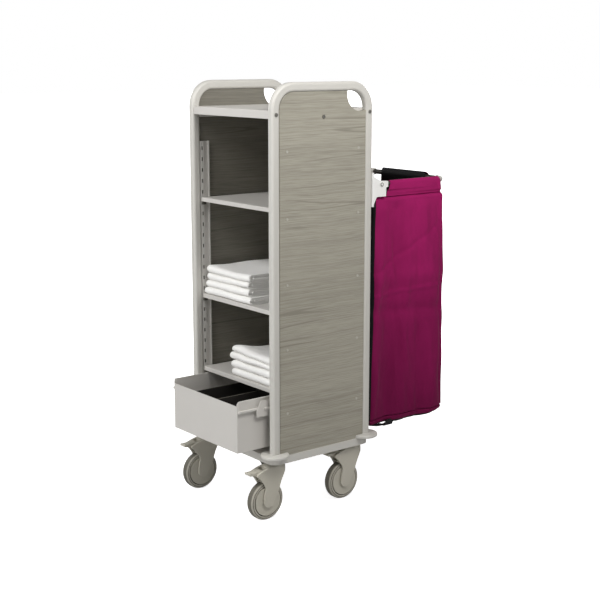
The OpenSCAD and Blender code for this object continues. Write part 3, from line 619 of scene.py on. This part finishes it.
def dress_cad():
    """Each CAD node takes the material of its slot in the record. Wheels and tyres have their own,
    for their rings, and the pivots and bracket screws are bright."""
    slots = {s["node"]: s["material_slot"] for s in frame["record"]["subparts"]}
    low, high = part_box("bag_pivots")
    radius = (high.z - low.z) / 2
    own = {"bag_pivots": ringed("pivot_head", "bag_pivots", (238, 238, 235), (228, 228, 225),
                                radius * 0.78, radius * 0.72, radius * 0.13),
           "bracket_screws": MATERIALS["zinc"],
           "panel_rivets": MATERIALS["rivet_head"]}
    for place in CASTORS:
        # Painted shade on each wheel: a dark stripe in its groove, and a dark tone past it.
        own[f"wheel_{place}"] = ringed(f"wheel_{place}", f"wheel_{place}", WHEEL_TONE, WELL_SHADE,
                                       WHEEL_GROOVE_R + 0.0016, WHEEL_GROOVE_R, 0.0014)
        own[f"tyre_{place}"] = ringed(f"tyre_{place}", f"tyre_{place}", TYRE_SIDE, TREAD_TONE,
                                      TREAD_R, TYRE_JOINT_R, 0.0007)
    for node, piece in frame["nodes"].items():
        piece.data.materials.clear()
        piece.data.materials.append(own.get(node) or MATERIALS[slots[node]])


dress_cad()

# ---- Laundry bag ----

arm_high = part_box("bag_frame")[1]
elbow_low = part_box("bag_frame_elbows")[0]
BAND_H = 0.050
ARM_R = 0.0085
arm_x = arm_high.x - 0.0102
arm_z = bag_high.z - 0.0105
bar_y = bag_high.y - 0.0105
seam_z = bag_high.z - BAND_H
BAG_FRONT_DROP = 0.019  # the front wall's top below the seam
BAG_WALL_X = bag_high.x - 0.001
BAG_FRONT_Y = bag_low.y
BAG_BACK_Y = bag_high.y - 0.0015
BAG_HEM_Z = bag_low.z + 0.0105
BAG_CORNER_R = 0.010
BAG_SAG = 0.0085  # of the bottom, below the hem
CLOTH_T = 0.0014
BAG_MATERIALS = [MATERIALS[label] for label in ("bag_fabric", "bag_lining", "bag_lining")]
HEM_SEAM_H, HEM_GROOVE, HEM_DRAW_IN = 0.0095, 0.0058, 0.0030  # height, depth, foot's inset
SLEEVE_FOOT = 0.0418  # the sleeve's seam below the tube's middle
SLEEVE_PINCH = 0.0040
SLEEVE_LINED = 0.50
SLEEVE_CUT_R = 0.014
SLEEVE_CLOTH_T = 0.0011
SLEEVE_COLUMNS, SLEEVE_STEP = 72, 0.0035
BAG_SIDE_X = (0.170, 0.186)  # between these the loop turns into a side wall
BAG_COLUMNS = 300
FAR_WAVE_H, NEAR_WAVE_H, SIDE_BULGE, CRINKLE_H = 0.0075, 0.0034, 0.0070, 0.00078
# Ridges and hollows of the wall at +X: y at the top, y at the foot, width, height.
RIDGES = [(0.140, 0.122, 0.024, 0.0105), (0.205, 0.193, 0.032, -0.0125),
          (0.322, 0.372, 0.040, 0.0150), (0.406, 0.409, 0.014, -0.0060),
          (0.262, 0.246, 0.013, 0.0040), (0.292, 0.312, 0.011, -0.0034),
          (0.150, 0.300, 0.012, 0.0048), (0.176, 0.230, 0.008, 0.0026)]
# Level creases: share of the way down, tilt, width, height.
CREASES = [(0.43, -0.02, 0.006, 0.0034), (0.34, -0.22, 0.010, -0.0036),
           (0.50, 0.02, 0.030, -0.0060), (0.36, 0.0, 0.035, 0.0048)]
# The strap's line under the bag at its x: y, z.
STRAP_X, STRAP_T, STRAP_STEP = 0.176, 0.0013, 0.002
STRAP_ROUTE = [(0.100, 0.2215), (0.112, 0.2190), (0.124, 0.2160), (0.138, 0.2138),
               (0.152, 0.2132), (0.164, 0.2136), (0.174, 0.2145), (0.186, 0.2152),
               (0.200, 0.2152), (0.213, 0.2152)]
# Rows of the bottom: share of the way out to the wall, share of the drop below the hem.
BOTTOM_ROWS = [(0.004, 1.0), (0.25, 1.0), (0.5, 1.0), (0.75, 1.0), (0.90, 0.98), (0.948, 0.9),
               (0.972, 0.72), (0.986, 0.42), (0.994, 0.16)]


def rounded_loop(half_x, y0, y1, radius, count):
    """Points and outward normals evenly spaced round a rectangle with round corners, anticlockwise
    seen from above, from the middle of its -Y side."""
    corners = [((half_x - radius, y0 + radius), -90), ((half_x - radius, y1 - radius), 0),
               ((radius - half_x, y1 - radius), 90), ((radius - half_x, y0 + radius), 180)]
    path = [np.array([[0, y0]])]
    for centre, first in corners:
        path.append(arc(centre, radius, first, first + 90, 13))
    path.append(np.array([[0, y0]]))
    line = evenly(np.concatenate(path), count + 1)
    ahead = np.roll(line[:-1], -1, axis=0) - np.roll(line[:-1], 1, axis=0)
    ahead /= np.linalg.norm(ahead, axis=1)[:, None]
    return line[:-1], np.stack([ahead[:, 1], -ahead[:, 0]], -1), lengths_along(line)


def side_folds(loop, down):
    """How far the bag's walls stand out or in, in metres. The wall at +X has listed soft ridges
    and hollows that drift as they go down; the others have seeded waves. Each ridge is a bell curve
    across the wall. Level creases, where the bag was once folded, cross them, and both side walls
    bulge in their upper half."""
    y = loop[None, :, 1]
    on_right = smoothstep(*BAG_SIDE_X, loop[:, 0])[None]
    on_side = smoothstep(*BAG_SIDE_X, np.abs(loop[:, 0]))[None]
    run = (loop[:, 1] - BAG_FRONT_Y) / (BAG_BACK_Y - BAG_FRONT_Y)
    depth = np.zeros((len(down), len(loop)))
    for top_y, low_y, width, height in RIDGES:
        middle = top_y + (low_y - top_y) * down[:, None]
        depth += on_right * height * bell(y - middle, width)
    rng = np.random.default_rng(7)
    along = np.linspace(0, 2 * np.pi, len(loop), endpoint=False)[None]
    for k in range(3, 21):
        sway = rng.uniform(-0.5, 0.5) * down[:, None]
        wave = np.cos(k * (along + sway) + rng.uniform(0, 2 * np.pi))
        depth += (1 - on_right) * wave * FAR_WAVE_H / k
        depth += on_right * wave * NEAR_WAVE_H / k
    for level, tilt, width, height in CREASES:
        depth += height * bell(down[:, None] - level - tilt * run[None], width)
    grow = smoothstep(0.03, 0.35, down) * (1 - 0.75 * smoothstep(0.92, 1.0, down))
    ends = smoothstep(0.90, 0.98, run) + 1 - smoothstep(0.0, 0.05, run)
    depth += SIDE_BULGE * np.sin(np.pi * np.clip(down / 0.62, 0, 1))[:, None] * on_side
    depth *= 0.60 + 0.40 * grow[:, None]
    return depth * smoothstep(0.012, 0.06, down)[:, None] * (1 - 0.85 * on_right * ends[None])


def crinkles(loop_at, down, rng):
    """Faint creases: plane waves in random, mostly upright, directions, added up."""
    total = np.zeros((len(down), len(loop_at)))
    for _ in range(26):
        across = 2 * np.pi / rng.uniform(0.035, 0.16)
        upward = rng.normal(0, 5.0)
        phase = rng.uniform(0, 2 * np.pi)
        wave = np.sin(across * loop_at[None] + upward * down[:, None] * 2 + phase)
        total += wave * rng.uniform(0.2, 1)
    return total * CRINKLE_H * smoothstep(0.02, 0.10, down)[:, None]


def bag_bottom(foot, low):
    """Rows of the bottom, from its middle out to the foot of the walls: each lies its share of the
    way out, and hangs its share of the drop from the hem to low."""
    centre = np.array([0, (BAG_FRONT_Y + BAG_BACK_Y) / 2])
    rows = [np.column_stack([centre + (foot - centre) * out, BAG_HEM_Z + (low - BAG_HEM_Z) * drop])
            for out, drop in BOTTOM_ROWS]
    return np.stack(rows)


def make_bag_body():
    """The bag below its sleeves. Rows of the rounded loop run from the middle of the bottom out to
    the hem and up the walls. At each level the loop's front leans forward toward the bottom, and
    its back corners draw in toward the top, where no bar holds them. Each wall point then moves
    along its outward normal by the folds, the pinch under the sleeve and the hem's seam."""
    loop, normal, at = rounded_loop(BAG_WALL_X, BAG_FRONT_Y, BAG_BACK_Y, BAG_CORNER_R, BAG_COLUMNS)
    on_front = 1 - smoothstep(BAG_FRONT_Y, BAG_FRONT_Y + 0.010, loop[:, 1])
    on_side = smoothstep(0.178, 0.186, np.abs(loop[:, 0]))
    middle_x = 1 - (loop[:, 0] / BAG_WALL_X) ** 2
    top = seam_z - 0.0015 - BAG_FRONT_DROP * on_front - 0.010 * on_front * middle_x
    run = np.clip((loop[:, 1] - BAG_FRONT_Y) / (BAG_BACK_Y - BAG_FRONT_Y), 0, 1)
    sag = BAG_SAG * np.sin(np.pi * run) ** 0.8 * on_side + BAG_SAG * middle_x * (1 - on_side)
    sag += 0.0011 * np.sin(run * 19 + 0.6) * on_side
    rise = np.concatenate([np.linspace(0, 0.028, 15)[:-1], np.linspace(0.028, 0.97, 112)[:-1],
                           np.linspace(0.97, 1, 13)])
    down = 1 - rise
    forward = 0.002 - 0.010 * smoothstep(0.0, 0.32, down) - 0.008 * smoothstep(0.45, 0.95, down)
    back_corners = run * smoothstep(0.08, 0.18, np.abs(loop[:, 0]))
    draw_in = 0.006 - 0.0165 * down + 0.0022 * np.sin(down * 17)
    level_y = (loop[None, :, 1] + forward[:, None] * (1 - run)[None]
               - draw_in[:, None] * back_corners[None])
    level_z = BAG_HEM_Z + rise[:, None] * (top - BAG_HEM_Z)[None]
    out = side_folds(loop, down) + crinkles(at[:-1], down, np.random.default_rng(3))
    above_hem = level_z - BAG_HEM_Z
    out -= HEM_DRAW_IN * (1 - smoothstep(0.0, 0.011, above_hem))
    out -= HEM_GROOVE * bell(above_hem - HEM_SEAM_H, 0.0022)
    out -= (SLEEVE_PINCH + 0.0050) * bell(top[None] - level_z, 0.0065) * (1 - on_front)[None]
    walls = np.stack([loop[None, :, 0] + normal[None, :, 0] * out,
                      level_y + normal[None, :, 1] * out, level_z], -1)
    bottom = bag_bottom(walls[0, :, :2], BAG_HEM_Z - 0.0075 - sag)
    grid = np.concatenate([bottom, walls])
    faces = grid_faces(len(grid), BAG_COLUMNS, wrap=True)
    uv = grid_uv(at[:-1], lengths_along(grid[:, 0]), wrap_u=at[-1])
    flat_faces = (len(bottom) - 2) * BAG_COLUMNS
    uv[:flat_faces * 4] = grid.reshape(-1, 3)[faces[:flat_faces].reshape(-1), :2]
    middle = grid.reshape(-1, 3)[faces].mean(axis=1)
    black = np.tile(loop[:, 1] < BAG_FRONT_Y + 0.005, len(grid) - 1) & (middle[:, 2] > BAG_HEM_Z)
    black |= np.arange(len(faces)) < flat_faces
    piece = new_piece("bag_body", grid, faces, uv, np.where(black, 1, 0), BAG_MATERIALS)
    thicken(piece, CLOTH_T, lining=True)
    return piece


def sleeve_section(count, crease):
    """A sleeve's cross-section, out and up: from the foot of its inner side up to the tube, over
    it, down the outer side to the crease, and in to the seam, as evenly spaced points."""
    r = ARM_R + 0.0016
    inner = np.array([[0.0046, -0.0392], [0.0036, -0.036], [0.0005, -0.028], [-0.0042, -0.016],
                      [-0.0078, -0.0075]])
    over = arc((0, 0), r, 195, -5, 25)
    outer = np.array([[r + 0.0002, -0.0050], [r + 0.0004, -0.0100], [r + 0.0005, crease + 0.0050],
                      [r + 0.0003, crease + 0.0022], [r - 0.0006, crease + 0.0006],
                      [r - 0.0028, crease - 0.0004], [r - 0.0032, crease - 0.0020],
                      [r - SLEEVE_PINCH, -0.0402], [r - SLEEVE_PINCH + 0.0008, -0.0410],
                      [r - SLEEVE_PINCH, -SLEEVE_FOOT]])
    return evenly(np.concatenate([inner, over, outer]), count)


def make_sleeve(name, start, along, outward, length, lean, creases, flare, loft, seed):
    """A sleeve of the bag round one tube: its section, in the plane of outward and up, carried
    along the tube. lean is how much longer its foot is than its top at each end, creases how far
    down the fold over the foot lies at each end, flare how much its last 14 mm swell, and loft
    how many times as high the cloth stands over the tube. Its far end is cut round at the top."""
    rng = np.random.default_rng(seed)
    columns = SLEEVE_COLUMNS
    count = max(int(length / SLEEVE_STEP), 8)
    t = np.linspace(0, 1, count)[:, None]
    first, last = (sleeve_section(columns, crease) for crease in creases)
    section = first[None] + (last - first)[None] * t[..., None]
    below = np.clip(-section[..., 1] / SLEEVE_FOOT, 0, 1)
    high = np.clip((section[..., 1] + SLEEVE_CUT_R - 0.010) / SLEEVE_CUT_R, 0, 1)
    cut = SLEEVE_CUT_R * (1 - np.sqrt(1 - high ** 2))
    run = -lean[0] * below + (length - cut + lean[1] * below + lean[0] * below) * t
    soft = np.zeros((count, columns))
    for _ in range(10):
        soft += np.sin(run * 2 * np.pi / rng.uniform(0.03, 0.15) + below * rng.uniform(-3, 3)
                       + rng.uniform(0, 6.28)) * rng.uniform(0.2, 1)
    soft *= 0.00020 * smoothstep(0.20, 0.45, below)
    wide = 1 + flare / ARM_R * smoothstep(length - 0.014, length - 0.006, run) * (1 - below)
    along, outward = np.array(along, float), np.array(outward, float)
    up = np.array([0, 0, 1.0])
    grid = (np.array(start, float) + run[..., None] * along
            + (section[..., 0] * wide + soft)[..., None] * outward
            + (section[..., 1] * np.where(section[..., 1] > 0, wide * loft, 1))[..., None] * up)
    faces = grid_faces(count, columns)
    uv = grid_uv(lengths_along(first), t[:, 0] * length)
    if np.dot(np.cross(along, outward), up) > 0:
        faces = faces[:, ::-1]
        uv = uv.reshape(-1, 4, 2)[:, ::-1].reshape(-1, 2)
    column = np.tile(np.arange(columns - 1), count - 1)
    lined = column < SLEEVE_LINED * (columns - 1)
    piece = new_piece(name, grid, faces, uv, np.where(lined, 1, 0), BAG_MATERIALS)
    thicken(piece, SLEEVE_CLOTH_T, lining=True)
    return piece


def ribbon(name, line, across, material, thickness):
    """A flat strap: at each point of the line, a row of points across its width; across turns
    evenly from its first vector to its last where the line's share of its length passes from
    0.55 to 0.72."""
    line = evenly(line, max(int(lengths_along(line)[-1] / STRAP_STEP), 12))
    share = lengths_along(line) / lengths_along(line)[-1]
    turn = smoothstep(0.55, 0.72, share)[:, None]
    first, last = np.array(across, float)
    vectors = first * np.cos(turn * np.pi / 2) + last * np.sin(turn * np.pi / 2)
    steps = np.linspace(-0.5, 0.5, 6)
    grid = line[:, None] + steps[None, :, None] * vectors[:, None]
    uv = grid_uv(steps * np.linalg.norm(first), lengths_along(line))
    piece = new_piece(name, grid, grid_faces(len(line), 6), uv, materials=[material])
    thicken(piece, thickness, offset=0)
    return piece


def make_bag():
    """The bag's body, its three sleeves and the strap under it, all carried by the holder; body and
    strap get meshes of their own."""
    body = make_bag_body()
    start_y = bag_low.y + 0.0700
    length = elbow_low.y + 0.0040 - start_y
    near, far = (make_sleeve(name, (side * arm_x, start_y, arm_z), (0, 1, 0), (side, 0, 0), length,
                             lean=(0.016, 0.008), creases=(-0.0215, -0.0345), flare=0.0020,
                             loft=loft, seed=seed)
                 for side, name, loft, seed in ((1, "bag_sleeve_right", 1.0, 11),
                                                (-1, "bag_sleeve_left", 1.15, 12)))
    rear = make_sleeve("bag_sleeve_rear", (-0.111, bar_y, arm_z), (1, 0, 0), (0, 1, 0), 0.222,
                       lean=(0.020, 0.020), creases=(-0.026, -0.028), flare=0.0, loft=1.75, seed=13)
    strap = ribbon("bag_strap", smooth_line([(STRAP_X, y, z) for y, z in STRAP_ROUTE], 60),
                   [(0.022, 0, 0), (0.003, 0.006, 0.0205)], MATERIALS["webbing"], STRAP_T)
    for piece in (body, near, far, rear, strap):
        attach(piece, "bag_holder")
    for piece in (body, strap):
        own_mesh(piece)
    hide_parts("laundry_bag")
    return body, near, strap


def smooth_line(points, count):
    """A curve through the points, by Catmull-Rom cubics, as count points spaced evenly."""
    p = np.array(points, float)
    p = np.concatenate([[2 * p[0] - p[1]], p, [2 * p[-1] - p[-2]]])
    t = np.linspace(0, 1, 12)[:, None]
    runs = []
    for a, b, c, d in zip(p[:-3], p[1:-2], p[2:-1], p[3:]):
        runs.append(0.5 * (2 * b + (c - a) * t + (2 * a - 5 * b + 4 * c - d) * t ** 2
                           + (3 * b - a - 3 * c + d) * t ** 3))
    return evenly(np.concatenate(runs), count)


# ---- Folded towels ----

TOWEL_T = 0.0235
TOWEL_DEPTH = 0.262
TOWEL_END_R = 0.016
TOWEL_COLUMNS = 44
PLY_GAP = 0.00138
PLY_T = 0.0019


def towel_path(roll, rng):
    """The fold of a towel seen from its end, as back and up: along the bottom to the front, round
    the front to the top, back, round the crease, forward inside, round and back again."""
    layer = TOWEL_T / 4
    z1, z2, z3, z4 = (layer * (k + 0.5) for k in range(4))
    r_out, r_in = (z4 - z1) / 2, (z3 - z2) / 2
    bulge = r_out * roll
    inside = bulge + rng.uniform(0.002, 0.006)
    back = TOWEL_DEPTH - layer * 0.5 - r_in
    first = [(back + 0.002, z1), (bulge + 0.010, z1)]
    front = np.array([bulge, (z1 + z4) / 2]) + arc((0, 0), 1.0, 270, 90, 21) * (bulge, r_out)
    top = [(bulge + 0.010, z4), (back, z4)]
    crease = arc((back, (z3 + z4) / 2), r_in, 90, -90, 9)
    inner = [(back, z3), (inside + r_in + 0.004, z3)]
    turn = arc((inside + r_in, (z2 + z3) / 2), r_in, 90, 270, 9)
    last = [(inside + r_in + 0.004, z2), (back + 0.001, z2)]
    line = np.concatenate([first, front, top, crease, inner, turn, last])
    return evenly(line, 300)


def soft_field(x, y, seed):
    """A smooth surface of about one unit: slow crossed waves over the towel's plan, seeded."""
    rng = np.random.default_rng(seed)
    total = np.zeros(np.broadcast(x, y).shape)
    for _ in range(6):
        turn = rng.uniform(0, 2 * np.pi)
        rate = 2 * np.pi / rng.uniform(0.10, 0.30)
        total += np.sin((x * np.cos(turn) + y * np.sin(turn)) * rate + rng.uniform(0, 2 * np.pi))
    return total / 3


def make_towel(name, x0, x1, y0, bottom, top, roll, seed):
    """A towel folded in four from front to back and doubled across: the fold's path carries the
    doubled cloth, one ply each side of it, joined at the end x0, where the towel rounds off. Its
    height is then stretched between two soft surfaces, bottom and top, shared with its
    neighbours, so that the stack touches and never crosses."""
    rng = np.random.default_rng(seed)
    line = towel_path(roll, rng)
    ahead = np.gradient(line, axis=0)
    ahead /= np.linalg.norm(ahead, axis=1)[:, None]
    normal = np.stack([-ahead[:, 1], ahead[:, 0]], -1)
    width = x1 - x0
    turn = arc((0, 0), PLY_GAP, 90, 270, 7)[1:-1]
    x_run = np.linspace(1, 0, TOWEL_COLUMNS)
    x_of = np.concatenate([x0 + x_run * width, x0 + turn[:, 0], x0 + x_run[::-1] * width])
    side = np.full(TOWEL_COLUMNS, PLY_GAP)
    off = np.concatenate([side, turn[:, 1], -side])
    from_end = np.clip((x_of - x0) / TOWEL_END_R, 0, 1)
    rounded = (1 - np.sqrt(np.clip(1 - (1 - from_end) ** 2, 0, 1)))[None]
    front = 1 - smoothstep(0.0, 0.09, line[:, 0:1])
    along = np.clip((x_of - x0) / width, 0, 1)[None]
    wander = sum(np.sin(along * rng.uniform(3, 11) + rng.uniform(0, 6.28)) for _ in range(3)) / 3
    y = y0 + line[:, 0:1] + normal[:, 0:1] * off[None] + front * (0.0022 * wander + 0.008 * rounded)
    share = (line[:, 1:2] + normal[:, 1:2] * off[None]) / TOWEL_T
    share = 0.5 + (share - 0.5) * (1 - 0.30 * rounded)
    frayed = 0.0020 * np.sin(line[:, 1:2] * 420 + seed) + 0.0014 * np.sin(line[:, 0:1] * 60 + seed)
    x = x_of[None] + frayed * along
    low, high = bottom(x, y), top(x, y)
    grid = np.stack([x, y, low + (high - low) * share], -1)
    faces = grid_faces(len(line), len(x_of))
    uv = grid_uv(lengths_along(np.stack([x_of, off], -1)), lengths_along(line))
    piece = new_piece(name, grid, faces, uv, materials=[MATERIALS["linen"]])
    thicken(piece, PLY_T, offset=0)
    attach(piece, "chassis")
    return piece


def make_stack(stack, rolls, shifts, right, ahead, sink, peak, gaps, seed):
    """Four towels on a shelf, with one soft surface between each two. Behind its front rolls the
    stack's top sinks by sink. It also has a peak, given as x and y from the front left corner of
    the stack's box, reach and height. Each of gaps opens the front edge under its towel: a share
    of the width and the height of a bell round it."""
    low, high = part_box(stack)

    def surface(k):
        """The soft surface on which towel k lies, as a height over x, y."""
        def height(x, y):
            soft = 0.0011 * min(k, 2) * soft_field(x, y, seed + k)
            px, py, reach, rise = peak
            far = ((x - low.x - px) ** 2 + (y - low.y - py) ** 2) / reach ** 2
            fall = sink * smoothstep(0.015, 0.12, y - low.y)
            return low.z + k * TOWEL_T + soft + k / 4 * (rise * np.exp(-far) - fall)
        return height

    def lifted(base, gap):
        """The same surface with the front edge over it opened by its gap."""
        def height(x, y):
            front = 1 - smoothstep(0.0, 0.05, y - low.y)
            middle = bell((x - low.x) / (high.x - low.x) - gap[0], 0.30)
            return base(x, y) + 0.0003 + gap[1] * front * middle
        return height

    for k in range(4):
        x0 = low.x + 0.002 + shifts[k]
        x1 = high.x - 0.004 + right[k]
        towel = make_towel(f"{stack}_{k + 1}", x0, x1, low.y + ahead + 0.0014 * (k % 3),
                           lifted(surface(k), gaps[k]), surface(k + 1), rolls[k],
                           seed + 40 + k)
    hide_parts(stack)


NO_GAP = (0.5, 0.0)
bag_body, bag_sleeve, bag_strap = make_bag()
make_stack("towels_middle", rolls=(1.25, 1.15, 1.3, 1.2),
           shifts=(-0.006, -0.002, 0.003, 0.009), right=(0.015, 0.004, 0.003, 0.016),
           ahead=-0.0035, sink=0.0, peak=(0.030, 0.010, 0.05, 0.0015),
           gaps=(NO_GAP, (0.9, 0.002), (0.95, 0.004), NO_GAP), seed=5)
make_stack("towels_lower", rolls=(1.15, 1.25, 1.25, 1.45),
           shifts=(-0.004, -0.008, -0.022, -0.002), right=(0.0, 0.0, 0.0, 0.0),
           ahead=0.0015, sink=0.015, peak=(0.036, 0.012, 0.045, 0.0065),
           gaps=(NO_GAP, (0.6, 0.001), (0.5, 0.0045), NO_GAP), seed=21)

# ---- Stage ----

AMBIENT = 0.066
AMBIENT_TINT = (1.0, 0.99, 0.97)
FLOOR_GLOW = 0.80
FLOOR_TONE = 0.62
FLOOR_SEEN_TONE = 0.90
FLOOR_HALF = 40
WHITE = (1, 1, 1)
# Name, place, point aimed at, width and height, watts, tint.
LIGHTS = [("key", (1.5, -0.25, 2.2), (0.1, 0.1, 0.9), (0.8, 0.8), 24, (1, 0.985, 0.96)),
          ("front_low", (-0.2, -3.2, 1.0), (0, 0, 0.7), (1.8, 1.2), 27, WHITE),
          ("front_high", (0.3, -2.2, 2.8), (0, 0, 0.7), (1.4, 1.0), 43, WHITE),
          ("rear_right", (3.0, 2.2, 1.8), (0.2, 0.3, 0.9), (1.5, 1.5), 20, WHITE),
          ("rear_left", (-1.6, 3.0, 1.9), (0, 0.2, 0.8), (1.5, 1.5), 34, WHITE),
          ("left", (-3.2, -0.7, 1.7), (0, 0, 0.7), (1.5, 1.5), 26, WHITE)]


def make_floor():
    """A pale floor whose glow, for the camera only, brings it to white: a little near the trolley,
    where it still holds the castors' shadows, and fully from two metres away."""
    material, nodes, shader = new_material("floor")
    seen = nodes.add("ShaderNodeLightPath").outputs["Is Camera Ray"]
    tone = nodes.mix(seen, (*[FLOOR_TONE] * 3, 1), (*[FLOOR_SEEN_TONE] * 3, 1))
    away = nodes.give(nodes.add("ShaderNodeVectorMath", operation="LENGTH"),
                      Vector=object_place(nodes))["Value"]
    glow = nodes.plus(nodes.ramp(away, 0.7, 2.2), FLOOR_GLOW)
    nodes.give(shader, Base_Color=tone, Roughness=0.9, Specular_IOR_Level=0.1,
               Emission_Color=(*WHITE, 1), Emission_Strength=nodes.times(seen, glow))
    corners = np.array([[-1, -1, 0], [1, -1, 0], [1, 1, 0], [-1, 1, 0]], float) * FLOOR_HALF
    floor = new_piece("floor", corners, np.array([[0, 1, 2, 3]]), materials=[material],
                      smooth=False)
    floor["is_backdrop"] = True


def make_world():
    """A white background for the camera that lights the trolley only a little."""
    world = bpy.data.worlds.new("studio")
    bpy.context.scene.world = world
    world.use_nodes = True
    nodes = Nodes(world.node_tree)
    background = world.node_tree.nodes["Background"]
    seen = nodes.add("ShaderNodeLightPath").outputs["Is Camera Ray"]
    nodes.give(background, Color=nodes.mix(seen, (*AMBIENT_TINT, 1), (*WHITE, 1)),
               Strength=nodes.times(seen, 1.0 - AMBIENT, AMBIENT))


def add_light(name, place, aim, size, watts, tint):
    """A rectangular lamp at a place, turned to face its aim."""
    data = bpy.data.lights.new(name, "AREA")
    data.shape = "RECTANGLE"
    data.size, data.size_y = size
    data.energy = watts
    data.color = tint
    light = bpy.data.objects.new(name, data)
    light.location = place
    light.rotation_euler = (Vector(aim) - Vector(place)).to_track_quat("-Z", "Y").to_euler()
    bpy.context.scene.collection.objects.link(light)
    light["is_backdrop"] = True


make_floor()
make_world()
for lamp in LIGHTS:
    add_light(*lamp)
bpy.context.scene.view_settings.view_transform = "Standard"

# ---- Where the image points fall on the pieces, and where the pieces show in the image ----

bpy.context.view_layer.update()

HEAD_DEPTH = 0.003
HEAD_REACH = 0.014
HEADS = {"frame_screws": ("screw_front", "screw_panel", "screw_rear"),
         "panel_rivets": ("rivet_top_front", "rivet_low_rear"), "bag_pivots": ("pivot_screw",)}
nodes = frame["nodes"]
# These eight are where the point's ray meets the piece, or comes nearest to it. Their distance is
# 0 wherever the piece covers the point, so it doesn't show where the corner or seam itself is.
CARRIERS = [(("upper_shelf_corner",), (nodes["shelf_upper"],)),
            (("lower_shelf_corner",), (nodes["shelf_lower"],)),
            (("drawer_top_corner", "drawer_low_corner"), (nodes["drawer_box"],)),
            (("band_seam_front", "band_seam_rear", "bag_low_corner"), (bag_body, bag_sleeve)),
            (("strap_foot",), (bag_strap,))]


def head_middle(name, piece):
    """Middle of a screw or rivet head that shows: of the vertices within reach of the place that
    its image point picks, those at the head's outer side."""
    met = np.array(on_surface(name, tree_of(piece)))
    places = finished_vertices(piece)
    away = np.linalg.norm(places - met, axis=1)
    near = places[away <= max(HEAD_REACH, away.min())]
    outer = near[near[:, 0] > near[:, 0].max() - HEAD_DEPTH]
    return (outer.min(axis=0) + outer.max(axis=0)) / 2


picked = {label: head_middle(label, nodes[node]) for node in HEADS for label in HEADS[node]}
for labels, carriers in CARRIERS:
    tree = tree_of(*carriers)
    picked.update((label, on_surface(label, tree)) for label in labels)
shown = [seen_at(finished_vertices(piece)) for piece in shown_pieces()]
